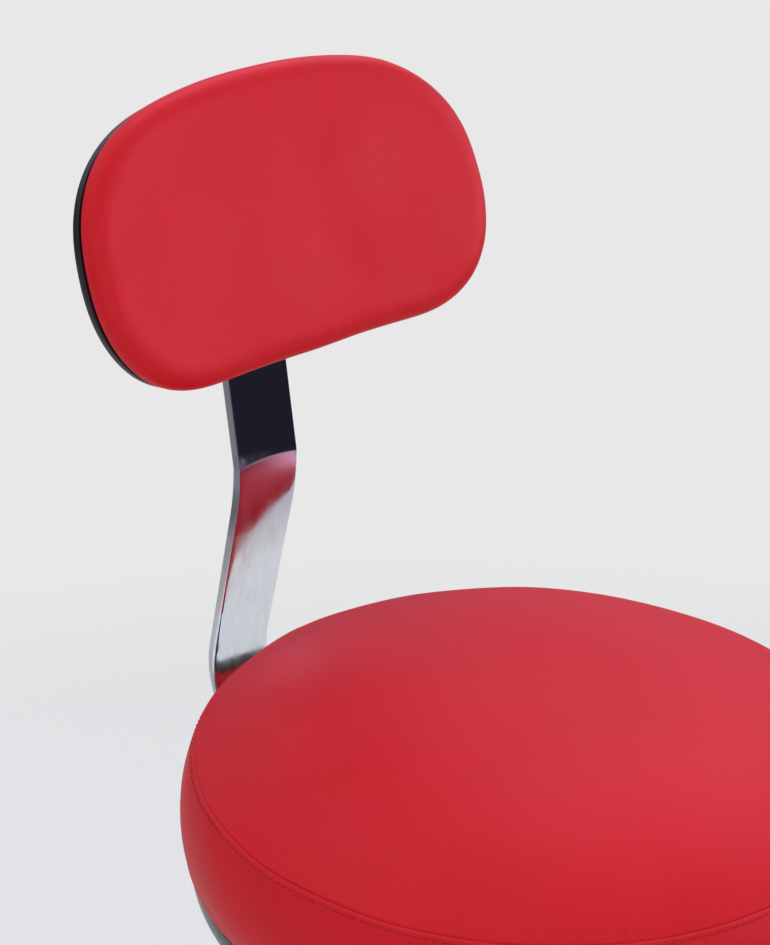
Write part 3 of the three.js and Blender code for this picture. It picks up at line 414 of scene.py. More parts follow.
def upholstery_leather():
    """Pigmented and embossed upholstery leather: a closed, even colour under a satin finish with a fine pebble."""
    material, tree, place = start_material("pigmented_leather")
    pebble_size = 0.0011
    pore_size = 0.0004
    wrinkle_size = 0.004
    patch_size = 0.045
    pebbles = add(tree, "TexVoronoi", place, Scale=1 / pebble_size, Smoothness=0.6, feature="SMOOTH_F1")
    pores = add(tree, "TexNoise", place, Scale=1 / pore_size, Detail=3.0)
    wrinkles = add(tree, "TexNoise", place, Scale=1 / wrinkle_size, Detail=3.0)
    patches = add(tree, "TexNoise", place, Scale=1 / patch_size, Detail=3.0)
    patched = add(tree, "MapRange", patches, 0.35, 0.65, 0.0, 1.0)
    colour = add(tree, "Mix", patched, linear("#c71922"), linear("#cb1c27"), data_type="RGBA")
    # the creases between the pebbles are painted a darker red: painted shade in the grain
    between = add(tree, "MapRange", pebbles, 0.45, 0.9, 0.0, 0.25)
    colour = add(tree, "Mix", between, colour, linear("#aa111b"), data_type="RGBA")
    normal = add(tree, "Bump", Height=wrinkles, Distance=0.00012, Strength=0.3)
    creases = seam_creases(tree, place)
    normal = add(tree, "Bump", Height=creases, Distance=0.00022, Strength=0.7, Normal=normal)
    normal = add(tree, "Bump", Height=pores, Distance=0.00003, Strength=0.4, Normal=normal)
    domes = add(tree, "MapRange", pebbles, 0.1, 0.9, 1.0, 0.0)
    normal = add(tree, "Bump", Height=domes, Distance=0.00008, Strength=0.35, Normal=normal)
    rough = add(tree, "MapRange", patches, 0.3, 0.7, 0.48, 0.52)
    return with_surface(material, Base_Color=colour, Roughness=rough, Specular_IOR_Level=0.13, Normal=normal)


def bonded_thread():
    """Bonded nylon thread: twisted from three plies, so its sheen runs in short slanting bars."""
    material, tree, place = start_material("bonded_thread")
    ply_size = 0.002
    ply = add(tree, "TexWave", place, Scale=1 / ply_size, Distortion=1.0, bands_direction="DIAGONAL", out="Fac")
    colour = add(tree, "Mix", ply, linear("#9c0f18"), linear("#b81a24"), data_type="RGBA")
    normal = add(tree, "Bump", Height=ply, Distance=0.0001, Strength=0.5)
    return with_surface(material, Base_Color=colour, Roughness=0.6, Specular_IOR_Level=0.15, Normal=normal)


def plated_chrome():
    """Bright chrome over nickel on polished steel: a cool, clean mirror with hairline polishing marks."""
    material, tree, place = start_material("plated_chrome")
    mark_size = 0.0005
    cloud_size = 0.02
    marks = add(tree, "TexNoise", place, Scale=1 / mark_size)
    clouds = add(tree, "TexNoise", place, Scale=1 / cloud_size, Detail=4.0, Roughness=0.6)
    rough = add(tree, "MapRange", clouds, 0.35, 0.7, 0.04, 0.09)
    normal = add(tree, "Bump", Height=marks, Distance=0.00001, Strength=0.1)
    return with_surface(material, Base_Color=linear("#e2e5e8"), Metallic=1.0, Roughness=rough, Normal=normal)


def bar_chrome():
    """The same chrome on flat bar that was belt ground along its length and bent cold.

    It is clean above the kink. Below it the grinding leaves long hairlines and clouds, and the flat is wound.
    """
    material, tree, place = start_material("ground_bar_chrome")
    parts = add(tree, "SeparateXYZ", place).node.outputs
    across = parts["X"]
    height = add(tree, "Math", parts["Z"], SEAM_HEIGHT, operation="SUBTRACT")
    # the grinding draws each pattern out along the bar: its size across, its share along, detail and roughness
    hairlines, streaks, clouds = (
        add(tree, "TexNoise", add(tree, "Mapping", place, Scale=(1.0, 1.0, along)), Scale=1 / size,
            Detail=detail, Roughness=0.6)
        for size, along, detail in ((0.0006, 0.015, 3.0), (0.004, 0.08, 3.0), (0.012, 0.4, 4.0))
    )

    kink_wind = add(tree, "MapRange", height, 0.106, 0.086, 0.0, BAR_KINK_WIND, interpolation_type="SMOOTHSTEP")
    low_wind = add(tree, "MapRange", height, 0.09, 0.055, 0.0, -BAR_KINK_WIND - BAR_WIND,
                   interpolation_type="SMOOTHSTEP")
    foot = add(tree, "MapRange", height, -0.03, 0.0, 0.0, 1.0)
    wind = add(tree, "Math", kink_wind, low_wind, operation="ADD")
    rise = add(tree, "Math", add(tree, "Math", wind, foot, operation="MULTIPLY"), across, operation="MULTIPLY")
    normal = add(tree, "Bump", Height=rise, Distance=1.0, Strength=1.0)
    normal = add(tree, "Bump", Height=hairlines, Distance=0.00002, Strength=0.18, Normal=normal)

    dull = add(tree, "MapRange", streaks, 0.35, 0.75, 0.0, 1.0)
    colour = add(tree, "Mix", dull, linear("#e4e8ec"), linear("#d8dce1"), data_type="RGBA")
    # from 35 to 70 mm above the seam upwards the bar's colour is painted a darker, cooler tint: painted shade that
    # darkens its reflections
    thin = add(tree, "MapRange", height, 0.035, 0.07, 0.0, 1.0)
    colour = add(tree, "Mix", thin, colour, linear("#c2bfca"), data_type="RGBA")
    # the press's edge scuffed the plating where it bent the bar
    from_edge = add(tree, "Math", height, BAR_KINK_EDGE + 0.002, operation="SUBTRACT")
    from_edge = add(tree, "Math", from_edge, operation="ABSOLUTE")
    scuffed = add(tree, "Math", add(tree, "MapRange", from_edge, 0.009, 0.0, 0.0, 1.0),
                  add(tree, "MapRange", across, 0.015, -0.02, 0.25, 1.0), operation="MULTIPLY")
    colour = add(tree, "Mix", scuffed, colour, linear("#6c6a72"), data_type="RGBA")
    # the rolled sides are a little duller, and their colour is painted shade: darker from 90 mm above the seam up,
    # lighter down towards the foot
    off_centre = add(tree, "Math", across, operation="ABSOLUTE")
    side = add(tree, "MapRange", off_centre, BAR_WIDTH / 2 - BAR_EDGE, BAR_WIDTH / 2 - 0.0001, 0.0, 1.0)
    low = add(tree, "MapRange", height, 0.09, 0.0, 0.0, 1.0)
    skin = add(tree, "Mix", low, linear("#8e8b94"), linear("#c4c6c8"), data_type="RGBA")
    colour = add(tree, "Mix", side, colour, skin, data_type="RGBA")

    cloudy = add(tree, "MapRange", clouds, 0.35, 0.7, 0.07, 0.19)
    lined = add(tree, "MapRange", hairlines, 0.55, 0.75, 0.0, 0.1)
    ground = add(tree, "MapRange", height, 0.1, 0.085, 0.2, 1.0)
    rough = add(tree, "Math", add(tree, "Math", cloudy, lined, operation="ADD"), ground, operation="MULTIPLY")
    for part in (
        0.02,
        add(tree, "Math", add(tree, "Math", scuffed, streaks, operation="MULTIPLY"), 0.35, operation="MULTIPLY"),
        add(tree, "Math", side, 0.2, operation="MULTIPLY"),
    ):
        rough = add(tree, "Math", rough, part, operation="ADD")
    return with_surface(material, Base_Color=colour, Metallic=1.0, Roughness=rough, Normal=normal)


def moulded_plastic(name, dark, light, roughness, grain_size):
    """Injection moulded plastic: the tool's texture as a fine, even pebble, faintly worn to a lighter tone."""
    material, tree, place = start_material(name)
    wear_size = 0.03
    grain = add(tree, "TexNoise", place, Scale=1 / grain_size)
    wear = add(tree, "TexNoise", place, Scale=1 / wear_size, Detail=4.0)
    worn = add(tree, "MapRange", wear, 0.4, 0.75, 0.0, 1.0)
    colour = add(tree, "Mix", worn, linear(dark), linear(light), data_type="RGBA")
    rough = add(tree, "MapRange", wear, 0.3, 0.7, roughness, roughness + 0.08)
    normal = add(tree, "Bump", Height=grain, Distance=0.00004, Strength=0.3)
    return with_surface(material, Base_Color=colour, Roughness=rough, Specular_IOR_Level=0.35, Normal=normal)


def powder_coat():
    """Black powder coat on pressed steel: a satin skin with a fine orange peel."""
    material, tree, place = start_material("powder_coat")
    peel_size = 0.0009
    dust_size = 0.02
    peel = add(tree, "TexNoise", place, Scale=1 / peel_size)
    dust = add(tree, "TexNoise", place, Scale=1 / dust_size, Detail=4.0)
    dusty = add(tree, "MapRange", dust, 0.5, 0.8, 0.0, 1.0)
    colour = add(tree, "Mix", dusty, linear("#1b1c1e"), linear("#2a2b2d"), data_type="RGBA")
    rough = add(tree, "MapRange", dust, 0.3, 0.7, 0.4, 0.5)
    normal = add(tree, "Bump", Height=peel, Distance=0.00006, Strength=0.4)
    return with_surface(material, Base_Color=colour, Roughness=rough, Normal=normal)


def zinc_plate():
    """Clear passivated zinc on steel: a soft grey gleam with faint cloudy spangles."""
    material, tree, place = start_material("zinc_plate")
    spangle_size = 0.004
    cloud_size = 0.006
    spangle = add(tree, "TexVoronoi", place, Scale=1 / spangle_size, out="Color")
    clouds = add(tree, "TexNoise", place, Scale=1 / cloud_size, Detail=3.0)
    colour = add(tree, "Mix", spangle, linear("#a4a9ac"), linear("#bcc0c2"), data_type="RGBA")
    rough = add(tree, "MapRange", clouds, 0.3, 0.7, 0.28, 0.42)
    return with_surface(material, Base_Color=colour, Metallic=1.0, Roughness=rough)


def rough_iron():
    """Sand cast iron: a coarse dark skin left by the mould."""
    material, tree, place = start_material("rough_iron")
    sand_size = 0.0012
    sand = add(tree, "TexNoise", place, Scale=1 / sand_size, Detail=4.0, Roughness=0.65)
    colour = add(tree, "Mix", sand, linear("#3a3b3c"), linear("#595a5b"), data_type="RGBA")
    normal = add(tree, "Bump", Height=sand, Distance=0.0003, Strength=0.6)
    return with_surface(material, Base_Color=colour, Metallic=0.6, Roughness=0.75, Normal=normal)


def moulded_rubber():
    """Carbon black rubber: matt, with a bloom of grey."""
    material, tree, place = start_material("moulded_rubber")
    bloom_size = 0.015
    grain_size = 0.0005
    bloom = add(tree, "TexNoise", place, Scale=1 / bloom_size, Detail=4.0)
    grain = add(tree, "TexNoise", place, Scale=1 / grain_size)
    colour = add(tree, "Mix", bloom, linear("#191919"), linear("#2a2a29"), data_type="RGBA")
    normal = add(tree, "Bump", Height=grain, Distance=0.00005, Strength=0.4)
    return with_surface(material, Base_Color=colour, Roughness=0.85, Normal=normal)


def birch_plywood():
    """Rotary cut birch plywood: pale, with long wavy grain."""
    material, tree, place = start_material("birch_plywood")
    grain_size = 0.003
    drawn_out = add(tree, "Mapping", place, Scale=(0.08, 1.0, 1.0))
    grain = add(tree, "TexNoise", drawn_out, Scale=1 / grain_size, Detail=4.0, Roughness=0.6)
    late = add(tree, "MapRange", grain, 0.3, 0.7, 0.0, 1.0)
    colour = add(tree, "Mix", late, linear("#c29a68"), linear("#d9b98a"), data_type="RGBA")
    normal = add(tree, "Bump", Height=grain, Distance=0.0001, Strength=0.3)
    return with_surface(material, Base_Color=colour, Roughness=0.65, Normal=normal)


def polyether_foam():
    """Open cell polyether foam: yellowed cream, matt, full of fine cells."""
    material, tree, place = start_material("polyether_foam")
    cell_size = 0.0014
    cells = add(tree, "TexVoronoi", place, Scale=1 / cell_size)
    colour = add(tree, "Mix", cells, linear("#cdbd86"), linear("#e9dfb4"), data_type="RGBA")
    normal = add(tree, "Bump", Height=cells, Distance=0.0003, Strength=0.6)
    return with_surface(material, Base_Color=colour, Roughness=0.95, Normal=normal)


THREAD = bonded_thread()
BAR_CHROME = bar_chrome()
# The finish of each material slot
FINISHES = {
    "red_leather": upholstery_leather(),
    "foam": polyether_foam(),
    "plywood": birch_plywood(),
    "black_shell": moulded_plastic("moulded_abs", "#1d1b22", "#26242b", 0.38, 0.0007),
    "black_pan": moulded_plastic("moulded_polypropylene", "#1c1d1e", "#27292a", 0.26, 0.0006),
    "chrome": plated_chrome(),
    "black_steel": powder_coat(),
    "zinc_steel": zinc_plate(),
    "cast_iron": rough_iron(),
    "rubber": moulded_rubber(),
    "nylon": moulded_plastic("natural_nylon", "#d6d5cc", "#e0dfd8", 0.45, 0.0006),
}


def dress_cad_nodes():
    slots = {row["node"]: row["material_slot"] for row in frame["record"]["subparts"]}
    for name, piece in frame["nodes"].items():
        piece.data.materials.clear()
        piece.data.materials.append(FINISHES[slots[name]])


# Seat cushion

CUSHION_SIDES = 1800
CUSHION_ANGLES = ring_angles(CUSHION_SIDES)
STITCH_COUNT = round(2 * math.pi * SEAM_RADIUS / STITCH_PITCH)


def crown_height(radius):
    return CROWN * (1 - (radius / SEAM_RADIUS) ** CROWN_POWER)


def band_radius(drop):
    return SEAM_RADIUS + SWELL * (1 - ((SWELL_DROP - drop) / SWELL_DROP) ** 2)


def cushion_line(depth, inset):
    """The cushion's side view from the middle of its top down to a depth below the seam, moved in by an inset."""
    radii = SEAM_RADIUS * np.sin(np.linspace(0, math.pi / 2, 40))
    drops = np.linspace(0, depth, 20)
    line = np.concatenate([
        np.stack([radii, crown_height(radii)], 1), np.stack([band_radius(drops), -drops], 1)[1:],
    ])
    line = line - normals_of(line) * inset
    line[0] = (0, line[0][1])
    return line


def line_at(line, distances):
    """Points of a line at distances along it, and its outward directions there."""
    lengths = lengths_of(line)
    normals = normals_of(line)
    return [np.stack([np.interp(distances, lengths, of[:, k]) for k in (0, 1)], 1) for of in (line, normals)]


def fullness(spots):
    """How much fuller the stuffing stands at each spot."""
    rise = np.zeros(len(spots))
    for x, y, z, height, spread in FULLNESS:
        rise += height * np.exp(-np.sum((spots - (x, y, z)) ** 2, 1) / spread ** 2)
    return rise


def pressed_leather(form, voxel, pressure, held, seed):
    """Leather over a form, held along its seams while the stuffing presses: how far it bulges, point by point.

    The stuffing presses a little unevenly.
    """
    even = form.modifiers.new("even_mesh", "REMESH")
    even.mode = "VOXEL"
    even.voxel_size = voxel
    skin = bake(form, form.name + "_skin")
    count = len(skin.data.vertices)
    rest, way, moved = (np.empty((count, 3)) for _ in range(3))
    skin.data.vertices.foreach_get("co", rest.ravel())
    skin.data.vertices.foreach_get("normal", way.ravel())
    sewn = skin.vertex_groups.new(name="sewn")
    sewn.add(np.flatnonzero(held(rest)).tolist(), 1.0, "REPLACE")
    stuffed = skin.vertex_groups.new(name="stuffed")
    for i, fill in enumerate(0.6 + 0.4 * np.tanh(waves(rest, STUFFING_LUMP, seed))):
        stuffed.add([i], float(fill), "REPLACE")

    cloth = skin.modifiers.new("leather_cloth", "CLOTH")
    cloth.settings.quality = 6
    cloth.settings.bending_stiffness = 3
    cloth.settings.use_pressure = True
    cloth.settings.uniform_pressure_force = pressure
    cloth.settings.vertex_group_pressure = "stuffed"
    cloth.settings.vertex_group_mass = "sewn"
    cloth.settings.effector_weights.gravity = 0
    cloth.collision_settings.use_collision = False
    cloth.point_cache.frame_start = 1
    cloth.point_cache.frame_end = CLOTH_FRAMES
    scene = bpy.context.scene
    for step in range(1, CLOTH_FRAMES + 1):
        scene.frame_set(step)
    graph = bpy.context.evaluated_depsgraph_get()
    skin.evaluated_get(graph).data.vertices.foreach_get("co", moved.ravel())
    scene.frame_set(1)
    bpy.data.objects.remove(skin)

    tree = KDTree(count)
    for i, point in enumerate(rest):
        tree.insert(point, i)
    tree.balance()
    return tree, np.clip(np.sum((moved - rest) * way, 1), -CLOTH_MOST, CLOTH_MOST)


def bulge_round(pressed, spots):
    """The uneven part of the bulge along one closed row of points, smooth along the row."""
    if pressed is None:
        return np.zeros(len(spots))
    tree, bulge = pressed
    few = np.linspace(0, len(spots), BULGE_SPOTS, endpoint=False).astype(int)
    found = []
    for spot in spots[few]:
        _, places, away = zip(*tree.find_n(spot, BULGE_NEAR))
        weights = np.exp(-((np.array(away) / BULGE_REACH) ** 2)) + 1e-9
        found.append(np.sum(weights * bulge[list(places)]) / np.sum(weights))
    uneven = BULGE_MOST * np.tanh((np.array(found) - np.mean(found)) / BULGE_MOST)
    return np.interp(np.arange(len(spots)), few, uneven, period=len(spots))


def cushion_pressed():
    """The cushion's cover, held at its seam and under the board."""
    line = cushion_line(SIDE_DEPTH, CLOTH_INSET)
    form = turned_body("cushion_form", [*line, (0, line[-1][1])], 128, SEAM_HEIGHT)
    seam = SEAM_RADIUS - CLOTH_INSET
    base = SEAM_HEIGHT - SIDE_DEPTH + CLOTH_INSET

    def held(points):
        away = np.hypot(np.hypot(points[:, 0], points[:, 1]) - seam, points[:, 2] - SEAM_HEIGHT)
        return (away < 1.4 * CUSHION_VOXEL) | (points[:, 2] < base)

    return pressed_leather(form, CUSHION_VOXEL, CUSHION_PRESSURE, held, 31)


def seam_waver():
    """How far the seam rises and falls round the cushion."""
    return SEAM_WAVER * ring_waves(CUSHION_ANGLES, 3, 17, 11)


def gathered(low, high, seed):
    """Between low and high puckers round the seam, strong where the leather is gathered and faint elsewhere."""
    share = np.full(CUSHION_SIDES, 0.12)
    for angle, spread, strength in GATHERS:
        away = np.mod(CUSHION_ANGLES - angle + math.pi, 2 * math.pi) - math.pi
        share = np.maximum(share, strength * np.exp(-((away / spread) ** 2)))
    return ring_waves(CUSHION_ANGLES, low, high, seed) * share


def groove(distance):
    """The groove that the seam pulls into the leather, round the whole cushion."""
    return np.full(CUSHION_SIDES, -GROOVE_DEPTH * math.exp(-((distance / GROOVE_WIDTH) ** 2)))


def leather_rows(line, facing, distances, offset_at):
    """Rows of leather at distances along a line from the seam, each moved out by its own offsets."""
    waver = seam_waver()
    rows = []
    for distance, place, way in zip(distances, *line_at(line, distances)):
        offset = offset_at(distance, round_row(*place, CUSHION_ANGLES))
        radius = place[0] + facing * way[0] * offset
        height = place[1] + facing * way[1] * offset + waver * math.exp(-distance / SEAM_FADE) + SEAM_HEIGHT
        rows.append(round_row(radius, height, CUSHION_ANGLES))
    return rows


def leather_inside(line, facing, distances):
    return leather_rows(line, facing, distances, lambda distance, spots: -GROOVE_DEPTH - LEATHER)


def top_panel(pressed):
    """The domed top, from the seam up to the middle."""
    radii = SEAM_RADIUS * np.sin(np.linspace(math.pi / 2, 0, 600))
    line = np.stack([radii, crown_height(radii)], 1)
    last = lengths_of(line)[-1] - 0.004
    puckers = gathered(190, 420, 13)
    folds = gathered(40, 90, 14)

    def offset_at(distance, spots):
        # the stitching holds the leather flat right at the seam
        rise = 1 - math.exp(-distance / 0.0015)
        broken = 0.55 + 0.45 * np.tanh(waves(spots, PUCKER_BREAK, 19))
        offset = groove(distance)
        offset += PUCKER * rise * math.exp(-distance / PUCKER_REACH) * puckers * broken
        offset += 0.5 * PUCKER * rise * math.exp(-distance / FOLD_REACH) * folds * broken
        # the stuffing under it lies in shallow waves, 85 mm from crest to crest
        offset += 0.00022 * rise * waves(spots, 0.085, 15) + fullness(spots)
        free = 1 - math.exp(-((distance / SEAM_FADE) ** 2))
        return offset + free * bulge_round(pressed, spots + (0, 0, SEAM_HEIGHT))

    # rows stand closest in the groove and at the puckers
    away = np.concatenate([
        np.arange(0, 0.0024, 0.0004), np.arange(0.0024, 0.009, 0.0011), np.arange(0.009, 0.03, 0.003),
        np.linspace(0.03, last, 22),
    ])
    outside = leather_rows(line, -1, away, offset_at)
    inside = leather_inside(line, -1, np.array([0, 0.01, 0.03, 0.07, 0.12, last]))
    top = SEAM_HEIGHT + CROWN
    poles = ((0, 0, top), (0, 0, top - LEATHER - GROOVE_DEPTH))
    return ring_mesh("seat_cushion_top", [*outside[::-1], *inside], poles=poles, sharp=60)


def band_line():
    """The side from the seam down, round the lower edge, in under the cushion and down to the lip on the pan."""
    depth = SIDE_DEPTH - SIDE_TURN
    drops = np.linspace(0, depth, 300)
    low = band_radius(depth)
    lip = -LIP_DROP - LEATHER
    return np.concatenate([
        np.stack([band_radius(drops), -drops], 1),
        [(low - 0.0005, -SIDE_DEPTH), (low - 0.0022, -SIDE_DEPTH - 0.0012), (low - 0.0045, -SIDE_DEPTH - 0.0018),
         (TUCK_RADIUS + 0.001, -TUCK_DROP), (TUCK_RADIUS, -TUCK_DROP - 0.0008), (TUCK_RADIUS, lip), (LIP_RADIUS, lip)],
    ])


def side_band(pressed):
    """The band round the cushion: a sewn lap with its stitches' dents, then the free side down to the turn."""
    line = band_line()
    reach = lengths_of(line)[-1]
    # how far down the line the free side ends, and where the leather has turned under
    side = 0.056
    turned = side + 0.01
    dents = (0.5 + 0.5 * np.cos(CUSHION_ANGLES * STITCH_COUNT)) ** 2
    puckers = gathered(190, 420, 16)
    folds = gathered(30, 70, 17)

    def offset_at(distance, spots):
        offset = groove(distance)
        # the sewn lap rises just under the groove, and its lower edge carries the stitches
        across = min(max((distance - 0.0005) / LAP_HEIGHT, 0), 1)
        offset += LAP_RISE * math.sin(math.pi * across) ** 0.7
        dent = math.exp(-(((distance - STITCH_DROP) / 0.0007) ** 2))
        offset -= STITCH_DENT * dent * (0.35 + 0.65 * dents)
        if distance > side:
            return offset
        # below the stitches the leather is free
        past = max(distance - STITCH_DROP, 0)
        rise = 1 - math.exp(-past / 0.001)
        broken = 0.6 + 0.4 * np.tanh(waves(spots, PUCKER_BREAK, 20))
        offset += 1.2 * PUCKER * rise * math.exp(-past / PUCKER_REACH) * puckers * broken
        offset += 0.5 * PUCKER * rise * math.exp(-past / FOLD_REACH) * folds
        offset += 0.0002 * rise * waves(spots, 0.07, 18) + fullness(spots)
        free = math.sin(math.pi * distance / side) ** 2
        return offset + free * bulge_round(pressed, spots + (0, 0, SEAM_HEIGHT))

    down = np.concatenate([
        np.arange(0, 0.0056, 0.0004), np.arange(0.0056, 0.016, 0.0013), np.arange(0.016, side, 0.0045),
        np.arange(side, turned, 0.0014), np.linspace(turned, reach, 8),
    ])
    outside = leather_rows(line, 1, down, offset_at)
    inside = leather_inside(line, 1, np.array([0, 0.003, 0.02, 0.04, 0.058, 0.064, reach - 0.02, reach]))
    return ring_mesh("seat_cushion_band", [*outside, *inside[::-1]], closed=True, sharp=60)


def seat_foam():
    """The foam block, a little inside the leather."""
    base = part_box("seat_board")[1].z - SEAM_HEIGHT + 0.0003
    line = cushion_line(SIDE_DEPTH - SIDE_TURN, 2 * LEATHER + GROOVE_DEPTH)
    line = line[line[:, 1] > base + 0.001]
    return turned_body("seat_foam_block", [*line, (line[-1][0] - 0.001, base), (0, base)], 96, SEAM_HEIGHT)


def seat_pan():
    """The pan under the cushion: a rolled rim, a deep round corner and a flat floor."""
    flat = PAN_RADIUS - PAN_CORNER
    angles = np.linspace(0, math.pi / 2, 24)
    outer, inner = (
        np.stack([flat + (PAN_CORNER - wall) * np.cos(angles), -PAN_DROP - (PAN_DEPTH - wall) * np.sin(angles)], 1)
        for wall in (0, PAN_WALL)
    )
    rim = angles[1:-1] * 2
    lip = np.stack([PAN_RADIUS - PAN_WALL / 2 - PAN_WALL / 2 * np.cos(rim), -PAN_DROP + 0.0004 * np.sin(rim)], 1)
    floor = -PAN_DROP - PAN_DEPTH
    line = [(0, floor + PAN_WALL), *inner[::-1], *lip, *outer, (0, floor)]
    return turned_body("seat_pan_moulding", line, 192, SEAM_HEIGHT)


# Stitches and screws, set on points

def start_tree(name, **inputs):
    """A tree that takes geometry, the named inputs of the given kinds and a material; and where it reads them."""
    tree = bpy.data.node_groups.new(name, "GeometryNodeTree")
    for label, kind in {"Geometry": "Geometry", **inputs, "Material": "Material"}.items():
        tree.interface.new_socket(label, in_out="INPUT", socket_type=f"NodeSocket{kind}")
    tree.interface.new_socket("Geometry", in_out="OUTPUT", socket_type="NodeSocketGeometry")
    return tree, add(tree, "NodeGroupInput").node.outputs


def set_on_points(tree, material, points, part, way, size):
    """Ends a tree with a part on each point, its Z axis along the point's way, as plain geometry."""
    turn = add(tree, "FunctionNodeAlignRotationToVector", Vector=way, axis="Z")
    parts = add(tree, "GeometryNodeInstanceOnPoints", Points=points, Instance=part, Rotation=turn, Scale=size)
    real = add(tree, "GeometryNodeRealizeInstances", Geometry=parts)
    add(tree, "NodeGroupOutput", add(tree, "GeometryNodeSetMaterial", Geometry=real, Material=material))
    return tree


def stitch_tree():
    """Stitches laid along a curve: one drawn-out bead for each."""
    tree, given = start_tree("stitches_on_curve", Pitch="Float", Length="Float", Radius="Float")
    points = add(tree, "GeometryNodeResampleCurve", Curve=given["Geometry"], Length=given["Pitch"], mode="LENGTH")
    bead = add(tree, "GeometryNodeMeshUVSphere", Segments=8, Rings=6, Radius=1.0)
    half = add(tree, "Math", given["Length"], 0.5, operation="MULTIPLY")
    size = add(tree, "CombineXYZ", given["Radius"], given["Radius"], half)
    way = add(tree, "GeometryNodeInputTangent")
    return set_on_points(tree, given["Material"], points, bead, way, size)


def screw_tree():
    """One screw set on each point, along the point's way."""
    tree, given = start_tree("screws_on_points", Part="Object", Size="Float")
    part = add(tree, "GeometryNodeObjectInfo", Object=given["Part"], out="Geometry")
    way = add(tree, "GeometryNodeInputNamedAttribute", Name="way", data_type="FLOAT_VECTOR")
    return set_on_points(tree, given["Material"], given["Geometry"], part, way, given["Size"])


def grown(source, tree, name, **values):
    """The plain piece that a tree makes from a source."""
    modifier = source.modifiers.new("parts", "NODES")
    modifier.node_group = tree
    for item in tree.interface.items_tree:
        if item.item_type == "SOCKET" and item.in_out == "INPUT" and item.name in values:
            modifier[item.identifier] = values[item.name]
    return bake(source, name)


def seam_stitches():
    (at,), (out,) = line_at(band_line(), np.array([STITCH_DROP]))
    angles = ring_angles(STITCH_COUNT * 4)
    waver = np.interp(angles, CUSHION_ANGLES, seam_waver(), period=2 * math.pi)
    sunk = STITCH_DENT * 0.5 + THREAD_RADIUS * 0.2
    radius = at[0] - out[0] * sunk
    height = SEAM_HEIGHT + at[1] - out[1] * sunk + waver * math.exp(-STITCH_DROP / SEAM_FADE)
    curve = bpy.data.curves.new("stitch_line", "CURVE")
    curve.dimensions = "3D"
    spline = curve.splines.new("POLY")
    spline.points.add(len(angles) - 1)
    for point, place in zip(spline.points, round_row(radius, height, angles)):
        point.co = (*place, 1)
    spline.use_cyclic_u = True
    return grown(
        new_object("stitch_line", curve), stitch_tree(), "seam_stitches",
        Pitch=2 * math.pi * radius / STITCH_COUNT, Length=STITCH_LENGTH, Radius=THREAD_RADIUS, Material=THREAD,
    )


# Backrest bar

# The way up along the tilted top of the bar and along the pad, in the (y, height) plane
TILTED_UP = np.array([math.sin(BACK_TILT), math.cos(BACK_TILT)])


def on_arc(centre, radius, angle):
    return np.array([centre[0] + radius * math.cos(angle), centre[1] + radius * math.sin(angle)])


def bar_corners(edge_height=BAR_KINK_EDGE):
    """Centre of the foot's bend, and the corners where the straight stretches of the front face meet.

    The kink is pressed in two steps: a soft bend and, over it, the sharper mark of the press's edge.
    """
    slope = math.tan(BAR_LOWER_LEAN)
    lean = math.tan(BAR_UPPER_LEAN)
    fall = math.tan(BAR_KINK_EDGE_LEAN)
    foot = np.array([SEAM_RADIUS + SWELL + BAR_STANDOFF - BAR_FOOT_BEND, BAR_TOP_FACE + BAR_FOOT_BEND])
    start = on_arc(foot, BAR_FOOT_BEND, BAR_LOWER_LEAN)
    kink = np.array([start[0] - (BAR_KINK_HEIGHT - start[1]) * slope, BAR_KINK_HEIGHT])
    edge = kink + (edge_height - BAR_KINK_HEIGHT) * np.array([lean, 1])
    drop = (edge[0] - kink[0] + slope * (edge[1] - kink[1])) / (slope + fall)
    soft = edge - drop * np.array([fall, 1])
    top = np.array([kink[0] + (BAR_TOP_BEND_HEIGHT - BAR_KINK_HEIGHT) * lean, BAR_TOP_BEND_HEIGHT])
    return foot, soft, edge, top


def corner_arc(corner, angle_in, angle_out, radius, count):
    half = (angle_in - angle_out) / 2
    centre = on_arc(corner, radius / math.cos(half), (angle_in + angle_out) / 2)
    return [(on_arc(centre, -radius, turn), turn) for turn in np.linspace(angle_in, angle_out, count)]


def bar_line(edge_height):
    """Points of the bar's front face in the (y, height) plane, each with the angle of the way to its rear."""
    foot, soft, edge, top = bar_corners(edge_height)
    points = [(np.array([BAR_END_Y, BAR_TOP_FACE]), -math.pi / 2)]
    for turn in np.linspace(-math.pi / 2, BAR_LOWER_LEAN, 40):
        points.append((on_arc(foot, BAR_FOOT_BEND, turn), turn))
    points += corner_arc(soft, BAR_LOWER_LEAN, -BAR_KINK_EDGE_LEAN, BAR_KINK_BEND, 18)
    points += corner_arc(edge, -BAR_KINK_EDGE_LEAN, -BAR_UPPER_LEAN, BAR_KINK_EDGE_BEND, 12)
    points += corner_arc(top, -BAR_UPPER_LEAN, -BACK_TILT, BAR_TOP_BEND, 12)
    # the points draw together where the end is rounded
    for share in [0.5, 0.8, *(1 - (1 - np.sin(np.linspace(0, math.pi / 2, 12))) * 0.16)]:
        points.append((top + TILTED_UP * BAR_TOP_LENGTH * share, -BACK_TILT))
    return points


def bar_section(half_width, edge):
    """The bar's rolled section, with its edges eased: x across and depth to the rear."""
    corners = [(-half_width, 0), (half_width, 0), (half_width, BAR_THICKNESS), (-half_width, BAR_THICKNESS)]
    outline = eased(corners, edge, 6)
    points = []
    for point, following in zip(outline, np.roll(outline, -1, 0)):
        steps = 14 if abs(following[0] - point[0]) > half_width else 1
        points += [point + (following - point) * share for share in np.arange(steps) / steps]
    return np.array(points)


BAR_TOP = bar_corners()[-1]


